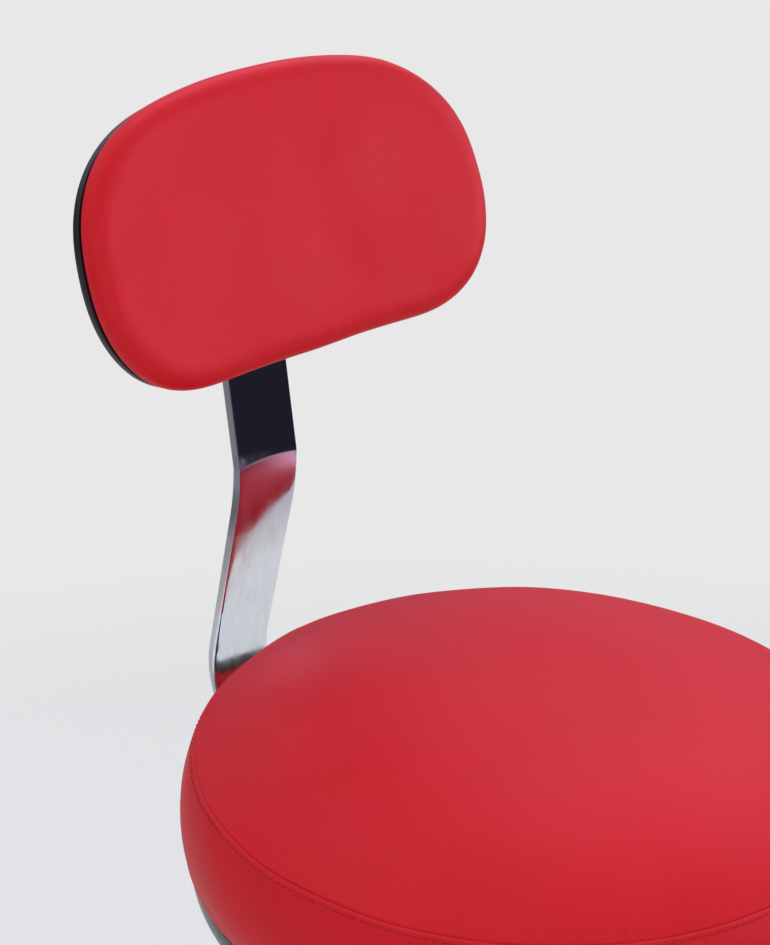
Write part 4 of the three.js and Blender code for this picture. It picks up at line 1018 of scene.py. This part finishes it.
def backrest_bar():
    """The bent flat bar, rounded across at its top end."""
    end = BAR_TOP + TILTED_UP * BAR_TOP_LENGTH
    section_places = bar_section(BAR_WIDTH / 2, BAR_EDGE)[:, 0] / (BAR_WIDTH / 2)
    # the press's mark bows up in the middle of the flat
    lines = [bar_line(BAR_KINK_EDGE + BAR_KINK_BOW * (1 - share ** 2)) for share in section_places]
    rows = []
    for stations in zip(*lines):
        place = stations[0][0]
        near = max(BAR_TOP_CORNER - np.linalg.norm(end - place), 0) if place[1] > BAR_TOP[1] else 0
        half = BAR_WIDTH / 2 - (BAR_TOP_CORNER - math.sqrt(BAR_TOP_CORNER ** 2 - near ** 2))
        # the foot's tight bend swells the edges
        swell = min(max((0.04 - place[1]) / 0.06, 0), 1)
        section = bar_section(half, BAR_EDGE + BAR_EDGE_SWELL * swell)
        rows.append([
            (x, at[0] + math.cos(angle) * depth, SEAM_HEIGHT + at[1] + math.sin(angle) * depth)
            for (x, depth), (at, angle) in zip(section, stations)
        ])
    rows = np.array(rows)
    return ring_mesh("bent_flat_bar", rows[:, ::-1], poles=(rows[0].mean(0), rows[-1].mean(0)), sharp=50)


# Backrest pad and shell

PAD_SIDES = 480
PAD_ACROSS = np.array([1.0, 0, 0])
PAD_REARWARD = np.array([0, math.cos(BACK_TILT), -math.sin(BACK_TILT)])
PAD_UP = np.array([0, *TILTED_UP])
PAD_ORIGIN = (np.array([PAD_SHIFT, BAR_TOP[0], SEAM_HEIGHT + BAR_TOP[1]])
              - PAD_REARWARD * BACK_STANDOFF + PAD_UP * BACK_RISE)


def closed_curve(points, count):
    """Evenly spaced points on a smooth closed curve through the given ones."""
    points = np.asarray(points, float)
    total = len(points)
    after_points = np.roll(points, -1, 0)
    steps = np.linalg.norm(after_points - points, axis=1)
    system = np.zeros((total, total))
    right = np.zeros((total, 2))
    for i in range(total):
        before, after = steps[i - 1], steps[i]
        system[i, i - 1] = 1 / before
        system[i, i] = 2 / before + 2 / after
        system[i, (i + 1) % total] = 1 / after
        right[i] = 3 * ((points[i] - points[i - 1]) / before / before + (after_points[i] - points[i]) / after / after)
    slopes = np.linalg.solve(system, right)
    fine = []
    for a, b, step, slope_a, slope_b in zip(points, after_points, steps, slopes, np.roll(slopes, -1, 0)):
        for t in np.linspace(0, 1, 60, endpoint=False):
            fine.append((2 * t ** 3 - 3 * t ** 2 + 1) * a + (t ** 3 - 2 * t ** 2 + t) * step * slope_a
                        + (3 * t ** 2 - 2 * t ** 3) * b + (t ** 3 - t ** 2) * step * slope_b)
    fine = np.array([*fine, fine[0]])
    lengths = lengths_of(fine)
    even = np.linspace(0, lengths[-1], count, endpoint=False)
    return np.stack([np.interp(even, lengths, fine[:, k]) for k in (0, 1)], 1)


def pad_outline():
    """The pad's outline, with the small differences that upholstering left between its corners."""
    right = [(x * BACK_HALF_WIDTH, z * BACK_HALF_HEIGHT) for x, z in OUTLINE_SHARES]
    outline = closed_curve(right + [(-x, z) for x, z in right[-2:0:-1]], PAD_SIDES)
    for x, z, inward, spread in PAD_CORNERS:
        away = np.hypot(outline[:, 0] - x, outline[:, 1] - z)
        outwards = np.array([x, z]) / np.linalg.norm((x, z))
        outline = outline - np.outer(inward * np.exp(-((away / spread) ** 2)), outwards)
    return outline


PAD_OUTLINE = pad_outline()
PAD_WAY = np.roll(PAD_OUTLINE, -1, 0) - np.roll(PAD_OUTLINE, 1, 0)
PAD_WAY /= np.linalg.norm(PAD_WAY, axis=1)[:, None]
PAD_OUTWARD = np.stack([-PAD_WAY[:, 1], PAD_WAY[:, 0]], 1)


def pad_row(inset, share, depth):
    """The outline moved in by an inset and shrunk by a share, as (x, depth, rise) in the pad's frame."""
    flat = (PAD_OUTLINE - PAD_OUTWARD * np.reshape(inset, (-1, 1))) * share
    bend = flat[:, 0] ** 2 / (2 * BACK_CURVE_RADIUS)
    return np.stack([flat[:, 0], depth - bend, flat[:, 1]], 1)


def from_pad(points):
    """Points of the pad's frame in the stool's frame."""
    points = np.asarray(points, float)
    return PAD_ORIGIN + points[..., :1] * PAD_ACROSS + points[..., 1:2] * PAD_REARWARD + points[..., 2:] * PAD_UP


def pad_mesh(name, rows, front, rear, sharp=40):
    """A closed body through rows of the pad's frame, with its poles at two depths."""
    poles = [from_pad((0, depth, 0)) for depth in (front, rear)]
    return ring_mesh(name, from_pad(rows)[:, ::-1], poles=poles, sharp=sharp)


def pad_pressed():
    """The pad's cover, held round its rear edge."""
    front = CLOTH_INSET - BACK_FRONT
    rows = [pad_row(BACK_EDGE, share, front) for share in np.linspace(0.05, 0.95, 16)]
    for angle in np.linspace(0, math.pi / 2, 8):
        inset = CLOTH_INSET + (BACK_EDGE - CLOTH_INSET) * (1 - math.sin(angle))
        rows.append(pad_row(inset, 1, front * math.cos(angle)))
    for inset, share in ((CLOTH_INSET, 1), (BACK_EDGE, 1), (BACK_EDGE, 0.4)):
        rows.append(pad_row(inset, share, BACK_REAR))

    def held(points):
        depth = (points - PAD_ORIGIN) @ PAD_REARWARD + points[:, 0] ** 2 / (2 * BACK_CURVE_RADIUS)
        return depth > BACK_SIDE

    form = pad_mesh("pad_form", rows, front, BACK_REAR)
    return pressed_leather(form, PAD_VOXEL, PAD_PRESSURE, held, 32)


def pad_leather():
    """The upholstered pad: a soft crown, a full round edge, and the leather turned in behind it."""
    crown_shares = [*np.linspace(0.03, 0.85, 24), 0.9, 0.94, 0.97, 0.99]
    roll_angles = np.linspace(0, math.pi / 2, 22)
    rows = [pad_row(BACK_EDGE, share, -BACK_FRONT - BACK_CROWN * (1 - share ** 2)) for share in crown_shares]
    # the roll tightens towards the side
    for angle in roll_angles:
        across, forward = (of(angle) ** (2 / BACK_EDGE_POWER) for of in (math.sin, math.cos))
        rows.append(pad_row(BACK_EDGE * (1 - across), 1, -BACK_FRONT * forward))
    pressed = pad_pressed()
    # the stuffing lies in shallow waves, 90 and 20 mm from crest to crest, and its bulge fades out over the roll
    for i, row in enumerate(rows):
        bulge = bulge_round(pressed, from_pad(row))
        row[:, 1] += 0.00025 * waves(row, 0.09, 21) + 0.00006 * waves(row, 0.02, 22)
        row[:, 1] -= bulge * (1 - max(i + 1 - len(crown_shares), 0) / len(roll_angles))
    rows += [pad_row(BACK_SIDE_INSET * share ** 2, 1, BACK_SIDE * share) for share in np.linspace(0.15, 1, 8)]
    # the edge of the tuck: how far in, and how far into its depth
    for inset, share in ((0.0032, 0.75), (0.0045, 0.95), (0.006, 1.0), (BACK_TUCK, 1.0)):
        rows.append(pad_row(inset, 1, BACK_SIDE + BACK_TUCK_DEPTH * share))
    rows.append(pad_row(BACK_TUCK, 1, (BACK_SIDE + BACK_TUCK_DEPTH + BACK_REAR) / 2))
    rows += [pad_row(BACK_TUCK, share, BACK_REAR) for share in (1, 0.8, 0.4)]
    return pad_mesh("back_pad", rows, -BACK_FRONT - BACK_CROWN, BACK_REAR, 60)


def smooth_least(value, limit, blend):
    """The lesser of a value and a limit, blended softly where they meet."""
    share = np.clip(0.5 + 0.5 * (limit - value) / blend, 0, 1)
    return limit + (value - limit) * share - blend * share * (1 - share)


# The shell's rim stands inside the pad's outline, and further inside towards the corners
SHELL_RIM = SHELL_INSET + SHELL_CORNER_INSET * (PAD_OUTLINE[:, 1] / BACK_HALF_HEIGHT) ** 2
SHELL_FRONT = BACK_SIDE + SHELL_GAP


def shell_rows(inset):
    """Rows of the shell from its rim to the middle of its back."""
    corner = SHELL_CORNER - inset
    side_end = SHELL_FRONT + SHELL_SIDE
    rows = [pad_row(SHELL_RIM + inset, 1, depth) for depth in np.linspace(SHELL_FRONT + 0.0006, side_end, 4)]
    for angle in np.linspace(0, math.pi / 2, 10)[1:]:
        across = SHELL_RIM + SHELL_CORNER - corner * math.cos(angle)
        rows.append(pad_row(across, 1, side_end + corner * math.sin(angle)))
    start = side_end + corner
    # the back bulges up to its flat, and sets off a little slower at its edge
    for share in [0.985, 0.965, 0.94, *np.linspace(0.9, 0.03, 26)]:
        rise = smooth_least(BULGE_FLAT * (1 - share ** BULGE_POWER), 1.0, 0.12)
        rise *= 1 - 0.25 * math.exp(-(((1 - share) / 0.03) ** 2))
        rows.append(pad_row(SHELL_RIM + SHELL_CORNER, share, start + (SHELL_REAR - inset - start) * rise))
    return rows


def back_shell():
    """A moulded shell: a thin wall with a rounded lip, bulging to a flat back for the bar."""
    lip = ((SHELL_WALL - 0.0005, 0), (0.0007, 0), (0.0002, 0.0002))
    rows = [
        *shell_rows(SHELL_WALL)[::-1],
        *(pad_row(SHELL_RIM + inset, 1, SHELL_FRONT + depth) for inset, depth in lip),
        *shell_rows(0),
    ]
    return pad_mesh("back_moulding", rows, SHELL_REAR - SHELL_WALL, SHELL_REAR, 60)


def pad_foam():
    """The foam inside the pad, a little clear of the leather."""
    front = -BACK_FRONT + 0.0016
    inner = BACK_TUCK + 0.0018
    # from the front round the edge to the rear: inset, share of the outline and depth
    rows = [pad_row(inset, share, depth) for inset, share, depth in (
        (0.01, 0.3, front), (0.01, 0.7, front), (0.01, 1, front), (0.0045, 1, -BACK_FRONT * 0.55),
        (0.0025, 1, 0), (0.0045, 1, 0.003), (inner, 1, BACK_FOAM_REAR), (inner, 0.5, BACK_FOAM_REAR),
    )]
    return pad_mesh("back_foam_block", rows, -BACK_FRONT + 0.0014, BACK_FOAM_REAR)


# Screws and bolts

SCREW_SIDES = 48
BOLT_HEAD = 0.0053
SCREWS_ON_POINTS = screw_tree()


def set_screws(name, screw, places, way, body, slot, nodes):
    """Sets a screw at each place, its Z axis along one way, and dresses them as one piece."""
    mesh = bpy.data.meshes.new(name)
    mesh.from_pydata([list(place) for place in places], [], [])
    mesh.attributes.new("way", "FLOAT_VECTOR", "POINT").data.foreach_set("vector", list(way) * len(places))
    points = new_object(name + "_points", mesh)
    made = grown(points, SCREWS_ON_POINTS, name, Part=screw, Size=1.0, Material=FINISHES[slot])
    bpy.data.objects.remove(screw)
    dress(set_sharp(made, 35), body, slot, *nodes)


def hex_row(across, height):
    """A hexagon of points, as many on each flat."""
    angles = ring_angles(SCREW_SIDES)
    turn = np.mod(angles, math.pi / 3) - math.pi / 6
    return round_row(across / 2 / np.cos(turn), height, angles)


def hex_bolt():
    """A hexagon head on a thin washer, its crown turned to a chamfer; Z points out of the head."""
    across, washer, shank, length = 0.013, 0.00775, 0.004, 0.03
    rows = [
        *turned_rows([(across * 0.42, BOLT_HEAD), (across * 0.47, BOLT_HEAD - 0.0001)], SCREW_SIDES),
        hex_row(across, BOLT_HEAD - 0.0009), hex_row(across, 0.0014),
        *turned_rows([
            (washer - 0.0003, 0.0014), (washer, 0.0011), (washer, 0.0002), (shank, 0.0002), (shank, -length),
        ], SCREW_SIDES),
    ]
    return ring_mesh("hex_bolt_part", rows, poles=((0, 0, BOLT_HEAD), (0, 0, -length)), sharp=35)


def socket_screw():
    """A domed head with a hexagon socket; Z points out of the head."""
    radius, head, shank, length = 0.005, 0.005, 0.003, 0.04
    across = radius * 0.85
    dome = [
        (radius * math.sin(angle) ** 0.8, head * (0.35 + 0.65 * math.cos(angle) ** 0.8))
        for angle in np.linspace(0.6, math.pi / 2, 8)
    ]
    rows = [
        hex_row(across, head * 0.4), hex_row(across, head - 0.0004), hex_row(across + 0.0005, head),
        *turned_rows([*dome, (radius, 0), (shank, 0), (shank, -length)], SCREW_SIDES),
    ]
    return ring_mesh("socket_screw_part", rows, poles=((0, 0, head * 0.4), (0, 0, -length)), sharp=35)


def middle_of(node):
    low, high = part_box(node)
    return (low + high) / 2


def seat_bolts():
    names = [f"plate_bolt_{i}" for i in (1, 2, 3, 4)] + ["bar_bolt_1", "bar_bolt_2"]
    places = []
    for name in names:
        place = middle_of(name)
        place.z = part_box(name)[0].z + BOLT_HEAD
        places.append(place)
    set_screws("seat_bolts", hex_bolt(), places, (0, 0, -1), "seat", "zinc_steel", names)


def back_screws():
    places = from_pad([(-PAD_SHIFT, BACK_STANDOFF + BAR_THICKNESS, rise) for rise in BACK_SCREW_RISES])
    names = ["back_screw_1", "back_screw_2"]
    set_screws("back_screws", socket_screw(), places, PAD_REARWARD, "seat", "black_steel", names)


# Column, base and foot ring

# The bore of the pieces that sit round the column
COLUMN_BORE = 0.0253


def dressed_ring(node, name, body, slot, edge, outline):
    """A turned ring that stands for a solid. Its outline is drawn from the solid's radius, foot and top."""
    low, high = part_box(node)
    dress(turned_ring(name, outline(high.x, low.z, high.z), edge), body, slot, node)


def column_parts():
    dressed_ring("column_tube", "column_sleeve", "base", "chrome", 0.0006, lambda radius, foot, top: [
        (radius, top), (radius, foot), (radius - 0.002, foot), (radius - 0.002, top),
    ])
    bore, inside = 0.0141, 0.0227
    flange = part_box("column_tube")[1].z + 0.0003
    dressed_ring("guide_bush", "mouth_bush", "base", "black_pan", 0.0009, lambda radius, foot, top: [
        (radius, top - 0.0006), (radius, flange), (inside, flange), (inside, foot), (bore, foot), (bore, top),
        (radius - 0.002, top),
    ])
    dressed_ring("neck_collar", "neck_ring", "base", "chrome", 0.0016, lambda radius, foot, top: [
        (radius - 0.003, top), (radius, top - 0.0035), (radius, foot), (COLUMN_BORE, foot), (COLUMN_BORE, top),
    ])
    radius, _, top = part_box("floor_pad")[1]
    pad = turned_body("rubber_floor_pad", [
        (0, top), (radius - 0.001, top), (radius, top - 0.001), (radius, 0.0006), (radius - 0.0006, 0), (0, 0),
    ], 160)
    dress(pad, "base", "rubber", "floor_pad")


def trumpet():
    """The spun base: a rolled rim, a low slope and a flare up to the neck, steeper for a higher power."""
    low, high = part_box("base_trumpet")
    corner, rim_height = 0.0075, 0.0132
    neck, power = 0.034, 1.6
    sheet = 0.0016
    start = high.x - corner
    angles = np.linspace(0, math.pi / 2, 14)
    edge = np.stack([start + corner * np.cos(angles), rim_height - corner + corner * np.sin(angles)], 1)
    radii = start * (neck / start) ** np.linspace(0, 1, 90)[1:]
    least = (neck / start) ** power
    shares = ((neck / radii) ** power - least) / (1 - least)
    flare = np.stack([radii, rim_height + (high.z - rim_height) * shares], 1)
    outer = np.concatenate([[(high.x, low.z)], edge, flare])[::-1]
    inner = (outer - normals_of(outer) * sheet)[::-1]
    return ring_mesh("base_spinning", turned_rows([*outer, *inner], 192), closed=True, sharp=50)


def foot_ring():
    """The ring, its clamp on the column, four spokes and the clamp's screw."""
    low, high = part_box("foot_ring")
    height = (low.z + high.z) / 2
    rail = 0.011
    middle = high.x - rail
    angles = ring_angles(40)[::-1]
    profile = np.stack([middle + rail * np.cos(angles), height + rail * np.sin(angles)], 1)
    ring = ring_mesh("foot_rail", turned_rows(profile, 192), closed=True, sharp=60)
    dress(ring, "base", "chrome", "foot_ring")
    dressed_ring("foot_clamp", "clamp_ring", "base", "chrome", 0.002, lambda radius, foot, top: [
        (radius, top), (radius, foot), (COLUMN_BORE, foot), (COLUMN_BORE, top),
    ])

    # the spokes widen at both ends into the weld beads
    start, end = 0.0328, middle - rail + 0.001
    distances = [start, start + 0.0012, start + 0.003, start + 0.007, end - 0.006, end - 0.0025, end - 0.001, end]
    radii = [0.0085, 0.0078, 0.0069, 0.0065, 0.0065, 0.0071, 0.0083, 0.009]
    centre = np.array([0, 0, height])
    for i in range(4):
        way = (math.cos(i * math.pi / 2), math.sin(i * math.pi / 2), 0)
        spoke = tube(f"rail_spoke_{i + 1}", centre + np.outer(distances, way), radii, sharp=60)
        dress(spoke, "base", "chrome", f"foot_spoke_{i + 1}")

    way = np.array([math.sqrt(0.5), math.sqrt(0.5), 0])
    place = centre + way * (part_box("foot_clamp")[1].x + 0.0001)
    set_screws("rail_clamp_screw", socket_screw(), [place], way, "base", "black_steel", ["clamp_screw"])


# Lift and its mechanism

def plate_row(sides, grow, corner, height):
    """A rectangle with round corners, its sides grown a little, with the same points as every other one."""
    points = []
    for turn, (x, y) in enumerate(((1, 1), (-1, 1), (-1, -1), (1, -1))):
        for angle in np.linspace(0, math.pi / 2, 9) + turn * math.pi / 2:
            points.append((x * ((sides[0] + grow) / 2 - corner) + corner * math.cos(angle),
                           y * ((sides[1] + grow) / 2 - corner) + corner * math.sin(angle), height))
    return points


def hole_row(radius, height):
    """A circle with the points of a plate's row."""
    quarter = np.linspace(0, math.pi / 2, 9) * 0.97 + 0.0236
    return round_row(radius, height, np.concatenate([quarter + turn * math.pi / 2 for turn in range(4)]))


def mechanism_plate():
    """A plate pressed from one sheet: a flat flange, soft bends and a well with the socket's hole."""
    low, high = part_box("mechanism_plate")
    sheet, edge, hole = 0.003, 0.0004, 0.0201
    flange = (high.x * 2, high.x * 2)
    well = (0.104, 0.084)
    top, under = high.z, high.z - sheet
    bottom, floor = low.z, low.z + sheet
    # up the well's inside, over the flange, down the well's outside and through the hole to its floor
    plate = ring_mesh("mechanism_pressing", [
        plate_row(well, -2 * sheet, 0.007, floor + 0.003), plate_row(well, -2 * sheet, 0.007, top - 0.003),
        plate_row(well, -sheet, 0.008, top - 0.0006), plate_row(well, 0.002, 0.01, top),
        plate_row(flange, -0.0008, 0.0136, top), plate_row(flange, 0, 0.014, top - 0.0006),
        plate_row(flange, 0, 0.014, under + 0.0006), plate_row(flange, -0.0008, 0.0136, under),
        plate_row(well, 0.004, 0.012, under), plate_row(well, 0.0008, 0.0104, under - 0.0012),
        plate_row(well, 0, 0.01, under - 0.004), plate_row(well, 0, 0.01, bottom + 0.004),
        plate_row(well, -0.0012, 0.009, bottom + 0.0012), plate_row(well, -0.004, 0.008, bottom),
        hole_row(hole + edge, bottom), hole_row(hole, bottom + edge),
        hole_row(hole, floor - edge), hole_row(hole + edge, floor),
        plate_row(well, -2 * sheet - 0.005, 0.004, floor), plate_row(well, -2 * sheet - 0.001, 0.006, floor + 0.001),
    ], closed=True)
    # the slot that the lever passes through: its sides, and how far it reaches up and down
    slot, reach = (0.03, 0.011), 0.0063
    rows = [plate_row(slot, 0, 0.003, height) for height in (reach, -reach)]
    cutter = ring_mesh("slot_cutter", rows, poles=((0, 0, reach), (0, 0, -reach)))
    cutter.data.transform(Matrix.Translation((-well[0] / 2, 0, middle_of("lever_pin").z + 0.0008)))
    plate = cut_or_joined(plate, cutter, "DIFFERENCE", "mechanism_plate_pressing")
    dress(plate, "seat", "black_steel", "mechanism_plate")


def lift_parts():
    wall, bore, head = 0.0015, 0.00258, 0.01
    dressed_ring("gas_cylinder", "lift_cylinder", "seat", "chrome", 0.0009, lambda radius, foot, top: [
        (radius - 0.0009, top), (radius, top - 0.03), (radius, foot), (radius - wall, foot),
        (radius - wall, top - head), (bore, top - head), (bore, top),
    ])
    dressed_ring("taper_socket", "socket_tube", "seat", "black_steel", 0.0012, lambda radius, foot, top: [
        (radius, top), (radius, foot + 0.002), (radius - 0.002, foot), (0.0143, foot), (0.0135, top),
    ])


def release_lever():
    """A bent rod with an eye for the pivot, and a moulded grip on its end."""
    low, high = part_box("height_lever")
    pivot = middle_of("lever_pin")
    rod = 0.004
    bend = np.array([-0.086, 0, pivot.z - 0.01])
    end = np.array([low.x + 0.0002, 0, low.z + rod])
    path = eased([(high.x, 0, pivot.z), (-0.058, 0, pivot.z), bend, end], 0.008, 8, closed=False)
    lever = tube("release_lever_rod", path, rod)
    # the eye that sits on the pivot, its ends eased: places along it and radii
    across, radii = zip((-0.0049, 0.0054), (-0.00472, 0.00582), (-0.0043, 0.006),
                        (0.0043, 0.006), (0.00472, 0.00582), (0.0049, 0.0054))
    eye = tube("lever_eye", [(pivot.x, y, pivot.z) for y in across], radii)
    dress(cut_or_joined(lever, eye, "UNION", "release_lever"), "lever", "chrome", "height_lever")

    # shallow finger grooves run round the grip: places along it, from the rod's end, and radii
    full, groove_depth = 0.0065, 0.0006
    outline = [(-0.066, 0.0046), (-0.0655, 0.0056), (-0.0635, 0.0062), (-0.06, 0.0063), (-0.055, 0.0063)]
    for start in -0.05 + np.arange(8) * 0.0052:
        outline += [(start, full), (start + 0.0009, full - groove_depth), (start + 0.0018, full - groove_depth),
                    (start + 0.0027, full)]
    outline += [(-0.006, full), (-0.002, full), (0.001, full - 0.0003), (0.0028, full - 0.0016),
                (0.0038, full - 0.0038), (0.004, full - 0.005)]
    along, radii = zip(*outline)
    way = (end - bend) / np.linalg.norm(end - bend)
    grip = tube("release_grip", end + np.outer(along, way), radii, 40, 60)
    dress(grip, "lever", "black_pan", "lever_grip")


# Assembly

def cushion():
    pressed = cushion_pressed()
    dress(top_panel(pressed), "seat", "red_leather", "seat_top_panel", fill=0.9)
    dress(side_band(pressed), "seat", "red_leather", "seat_side_band", fill=0.9)
    dress(seam_stitches(), "seat", "red_leather", material=THREAD)
    dress(seat_foam(), "seat", "foam", "seat_foam", fill=1.0)
    dress(seat_pan(), "seat", "black_pan", "seat_pan")


def backrest():
    dress(pad_leather(), "seat", "red_leather", "back_leather", fill=0.9)
    dress(pad_foam(), "seat", "foam", "back_foam", fill=1.0)
    dress(back_shell(), "seat", "black_shell", "back_shell")
    dress(backrest_bar(), "seat", "chrome", "backrest_bar", material=BAR_CHROME)
    back_screws()


# Room, lights and camera

WALL = linear("#e8e8e8")
FLOOR = linear("#fcfcfa")
FAR_FLOOR = linear("#d8dadb")
DARK_ROOM = linear("#292733")
# Light levels against white paint: red, green, blue and alpha
CEILING = [0.75, 0.82, 1.1, 1]
DIM_ROOM = [0.085, 0.1, 0.14, 1]
# Bright places that show in gloss: direction, cosine at the edge, lowest and highest level, light against white paint
WINDOWS = (
    ((0.75, -0.64, 0.17), 0.86, (-0.04, 0.06), (0.38, 0.24), [16.0, 18.0, 25.0, 1]),
    ((0.6, 0.05, 0.8), 0.84, (0.3, 0.5), (1.2, 1.1), [9.0, 10.0, 13.5, 1]),
    ((0.68, 0.66, 0.3), 0.55, (-0.05, 0.1), (0.7, 0.5), [0.85, 0.95, 1.3, 1]),
)


def room_light():
    """A pale studio. Shiny parts also see its windows, dim far walls and a dark doorway in front."""
    world = bpy.data.worlds.new("pale_studio")
    bpy.context.scene.world = world
    world.use_nodes = True
    tree = world.node_tree
    tree.nodes.clear()
    rays = add(tree, "LightPath").node.outputs
    way = add(tree, "TexCoord", out="Generated")
    level = add(tree, "SeparateXYZ", way, out="Z")

    # levels run from -1 straight down to 1 straight up
    upper = add(tree, "MapRange", level, 0.0, 0.9, 0.0, 1.0)
    seen = add(tree, "Mix", upper, DIM_ROOM, CEILING, data_type="RGBA")
    lower = add(tree, "MapRange", level, -0.27, -0.36, 0.0, 1.0)
    seen = add(tree, "Mix", lower, seen, FAR_FLOOR, data_type="RGBA")
    # the doorway and the windows: how far inside each a way points, its lowest and highest level and its light
    doorway = add(tree, "VectorMath", way, (0.655, -0.755, 0.0), operation="DOT_PRODUCT")
    places = [(add(tree, "MapRange", doorway, 0.86, 0.92, 0.0, 1.0), (-0.38, -0.25), (0.08, -0.04), DARK_ROOM)]
    for centre, edge, lowest, highest, light in WINDOWS:
        facing = add(tree, "VectorMath", way, Vector(centre).normalized(), operation="DOT_PRODUCT")
        places.append((add(tree, "MapRange", facing, edge, 1.0, 0.0, 1.0), lowest, highest, light))
    for share, lowest, highest, light in places:
        for span in (lowest, highest):
            within = add(tree, "MapRange", level, *span, 0.0, 1.0)
            share = add(tree, "Math", share, within, operation="MULTIPLY")
        seen = add(tree, "Mix", share, seen, light, data_type="RGBA")
    seen = add(tree, "Mix", rays["Is Camera Ray"], seen, WALL, data_type="RGBA")

    direct = rays["Is Camera Ray"]
    for kind in ("Is Glossy Ray", "Is Transmission Ray"):
        direct = add(tree, "Math", direct, rays[kind], operation="MAXIMUM")
    ambient = add(tree, "Background", Color=linear("#f6f6fa"), Strength=0.67)
    shown = add(tree, "Background", Color=seen, Strength=1.0)
    add(tree, "OutputWorld", add(tree, "MixShader", direct, ambient, shown))


def pale_floor():
    """A pale floor that fades into the wall's tone behind the stool."""
    size = 6.0
    mesh = bpy.data.meshes.new("studio_floor")
    mesh.from_pydata([(-size, -size, 0), (size, -size, 0), (size, size, 0), (-size, size, 0)], [], [(0, 1, 2, 3)])
    material, tree, place = start_material("painted_floor")
    away = add(tree, "VectorMath", place, operation="LENGTH")
    share = add(tree, "MapRange", away, 1.2, 1.5, 0.0, 1.0)
    paint = add(tree, "BsdfDiffuse", Color=FLOOR)
    clear = add(tree, "BsdfTransparent")
    add(tree, "OutputMaterial", add(tree, "MixShader", share, paint, clear))
    mesh.materials.append(material)
    new_object("studio_floor", mesh)


def area_lamp(name, place, target, size, power):
    data = bpy.data.lights.new(name, "AREA")
    data.shape = "RECTANGLE"
    data.size, data.size_y = size
    data.energy = power
    data.color = linear("#f4f7ff")[:3]
    lamp = new_object(name, data)
    lamp.location = place
    lamp.rotation_mode = "QUATERNION"
    lamp.rotation_quaternion = (Vector(target) - Vector(place)).to_track_quat("-Z", "Y")


def lamps():
    area_lamp("overhead_softbox", (-0.4, 0.7, 2.7), (0, 0, 0.6), (2.4, 2.4), 18)
    area_lamp("front_softbox", (-0.9, -2.2, 1.4), (0, 0.1, 0.7), (1.8, 1.4), 14)


def camera():
    turn = CAMERA_AZIMUTH
    look = Vector((-math.sin(turn) * math.cos(CAMERA_PITCH), math.cos(turn) * math.cos(CAMERA_PITCH),
                   -math.sin(CAMERA_PITCH)))
    level = Vector((math.cos(turn), math.sin(turn), 0))
    above = level.cross(look)
    across = level * math.cos(CAMERA_ROLL) + above * math.sin(CAMERA_ROLL)
    up = above * math.cos(CAMERA_ROLL) - level * math.sin(CAMERA_ROLL)
    data = bpy.data.cameras.new("picture_camera")
    data.sensor_fit = "AUTO"
    data.sensor_width = SENSOR
    data.lens = SENSOR * FOCAL_PIXELS / max(IMAGE_WIDTH, IMAGE_HEIGHT)
    data.clip_start = 0.01
    data.clip_end = 50
    made = new_object("picture_camera", data)
    place = Matrix((across, up, -look)).transposed().to_4x4()
    place.translation = Vector(CAMERA_PLACE)
    made.matrix_world = place
    bpy.context.scene.camera = made


bpy.context.scene.view_settings.view_transform = "Standard"
dress_cad_nodes()
camera()
room_light()
pale_floor()
lamps()
cushion()
backrest()
seat_bolts()
column_parts()
dress(trumpet(), "base", "chrome", "base_trumpet")
foot_ring()
mechanism_plate()
lift_parts()
release_lever()
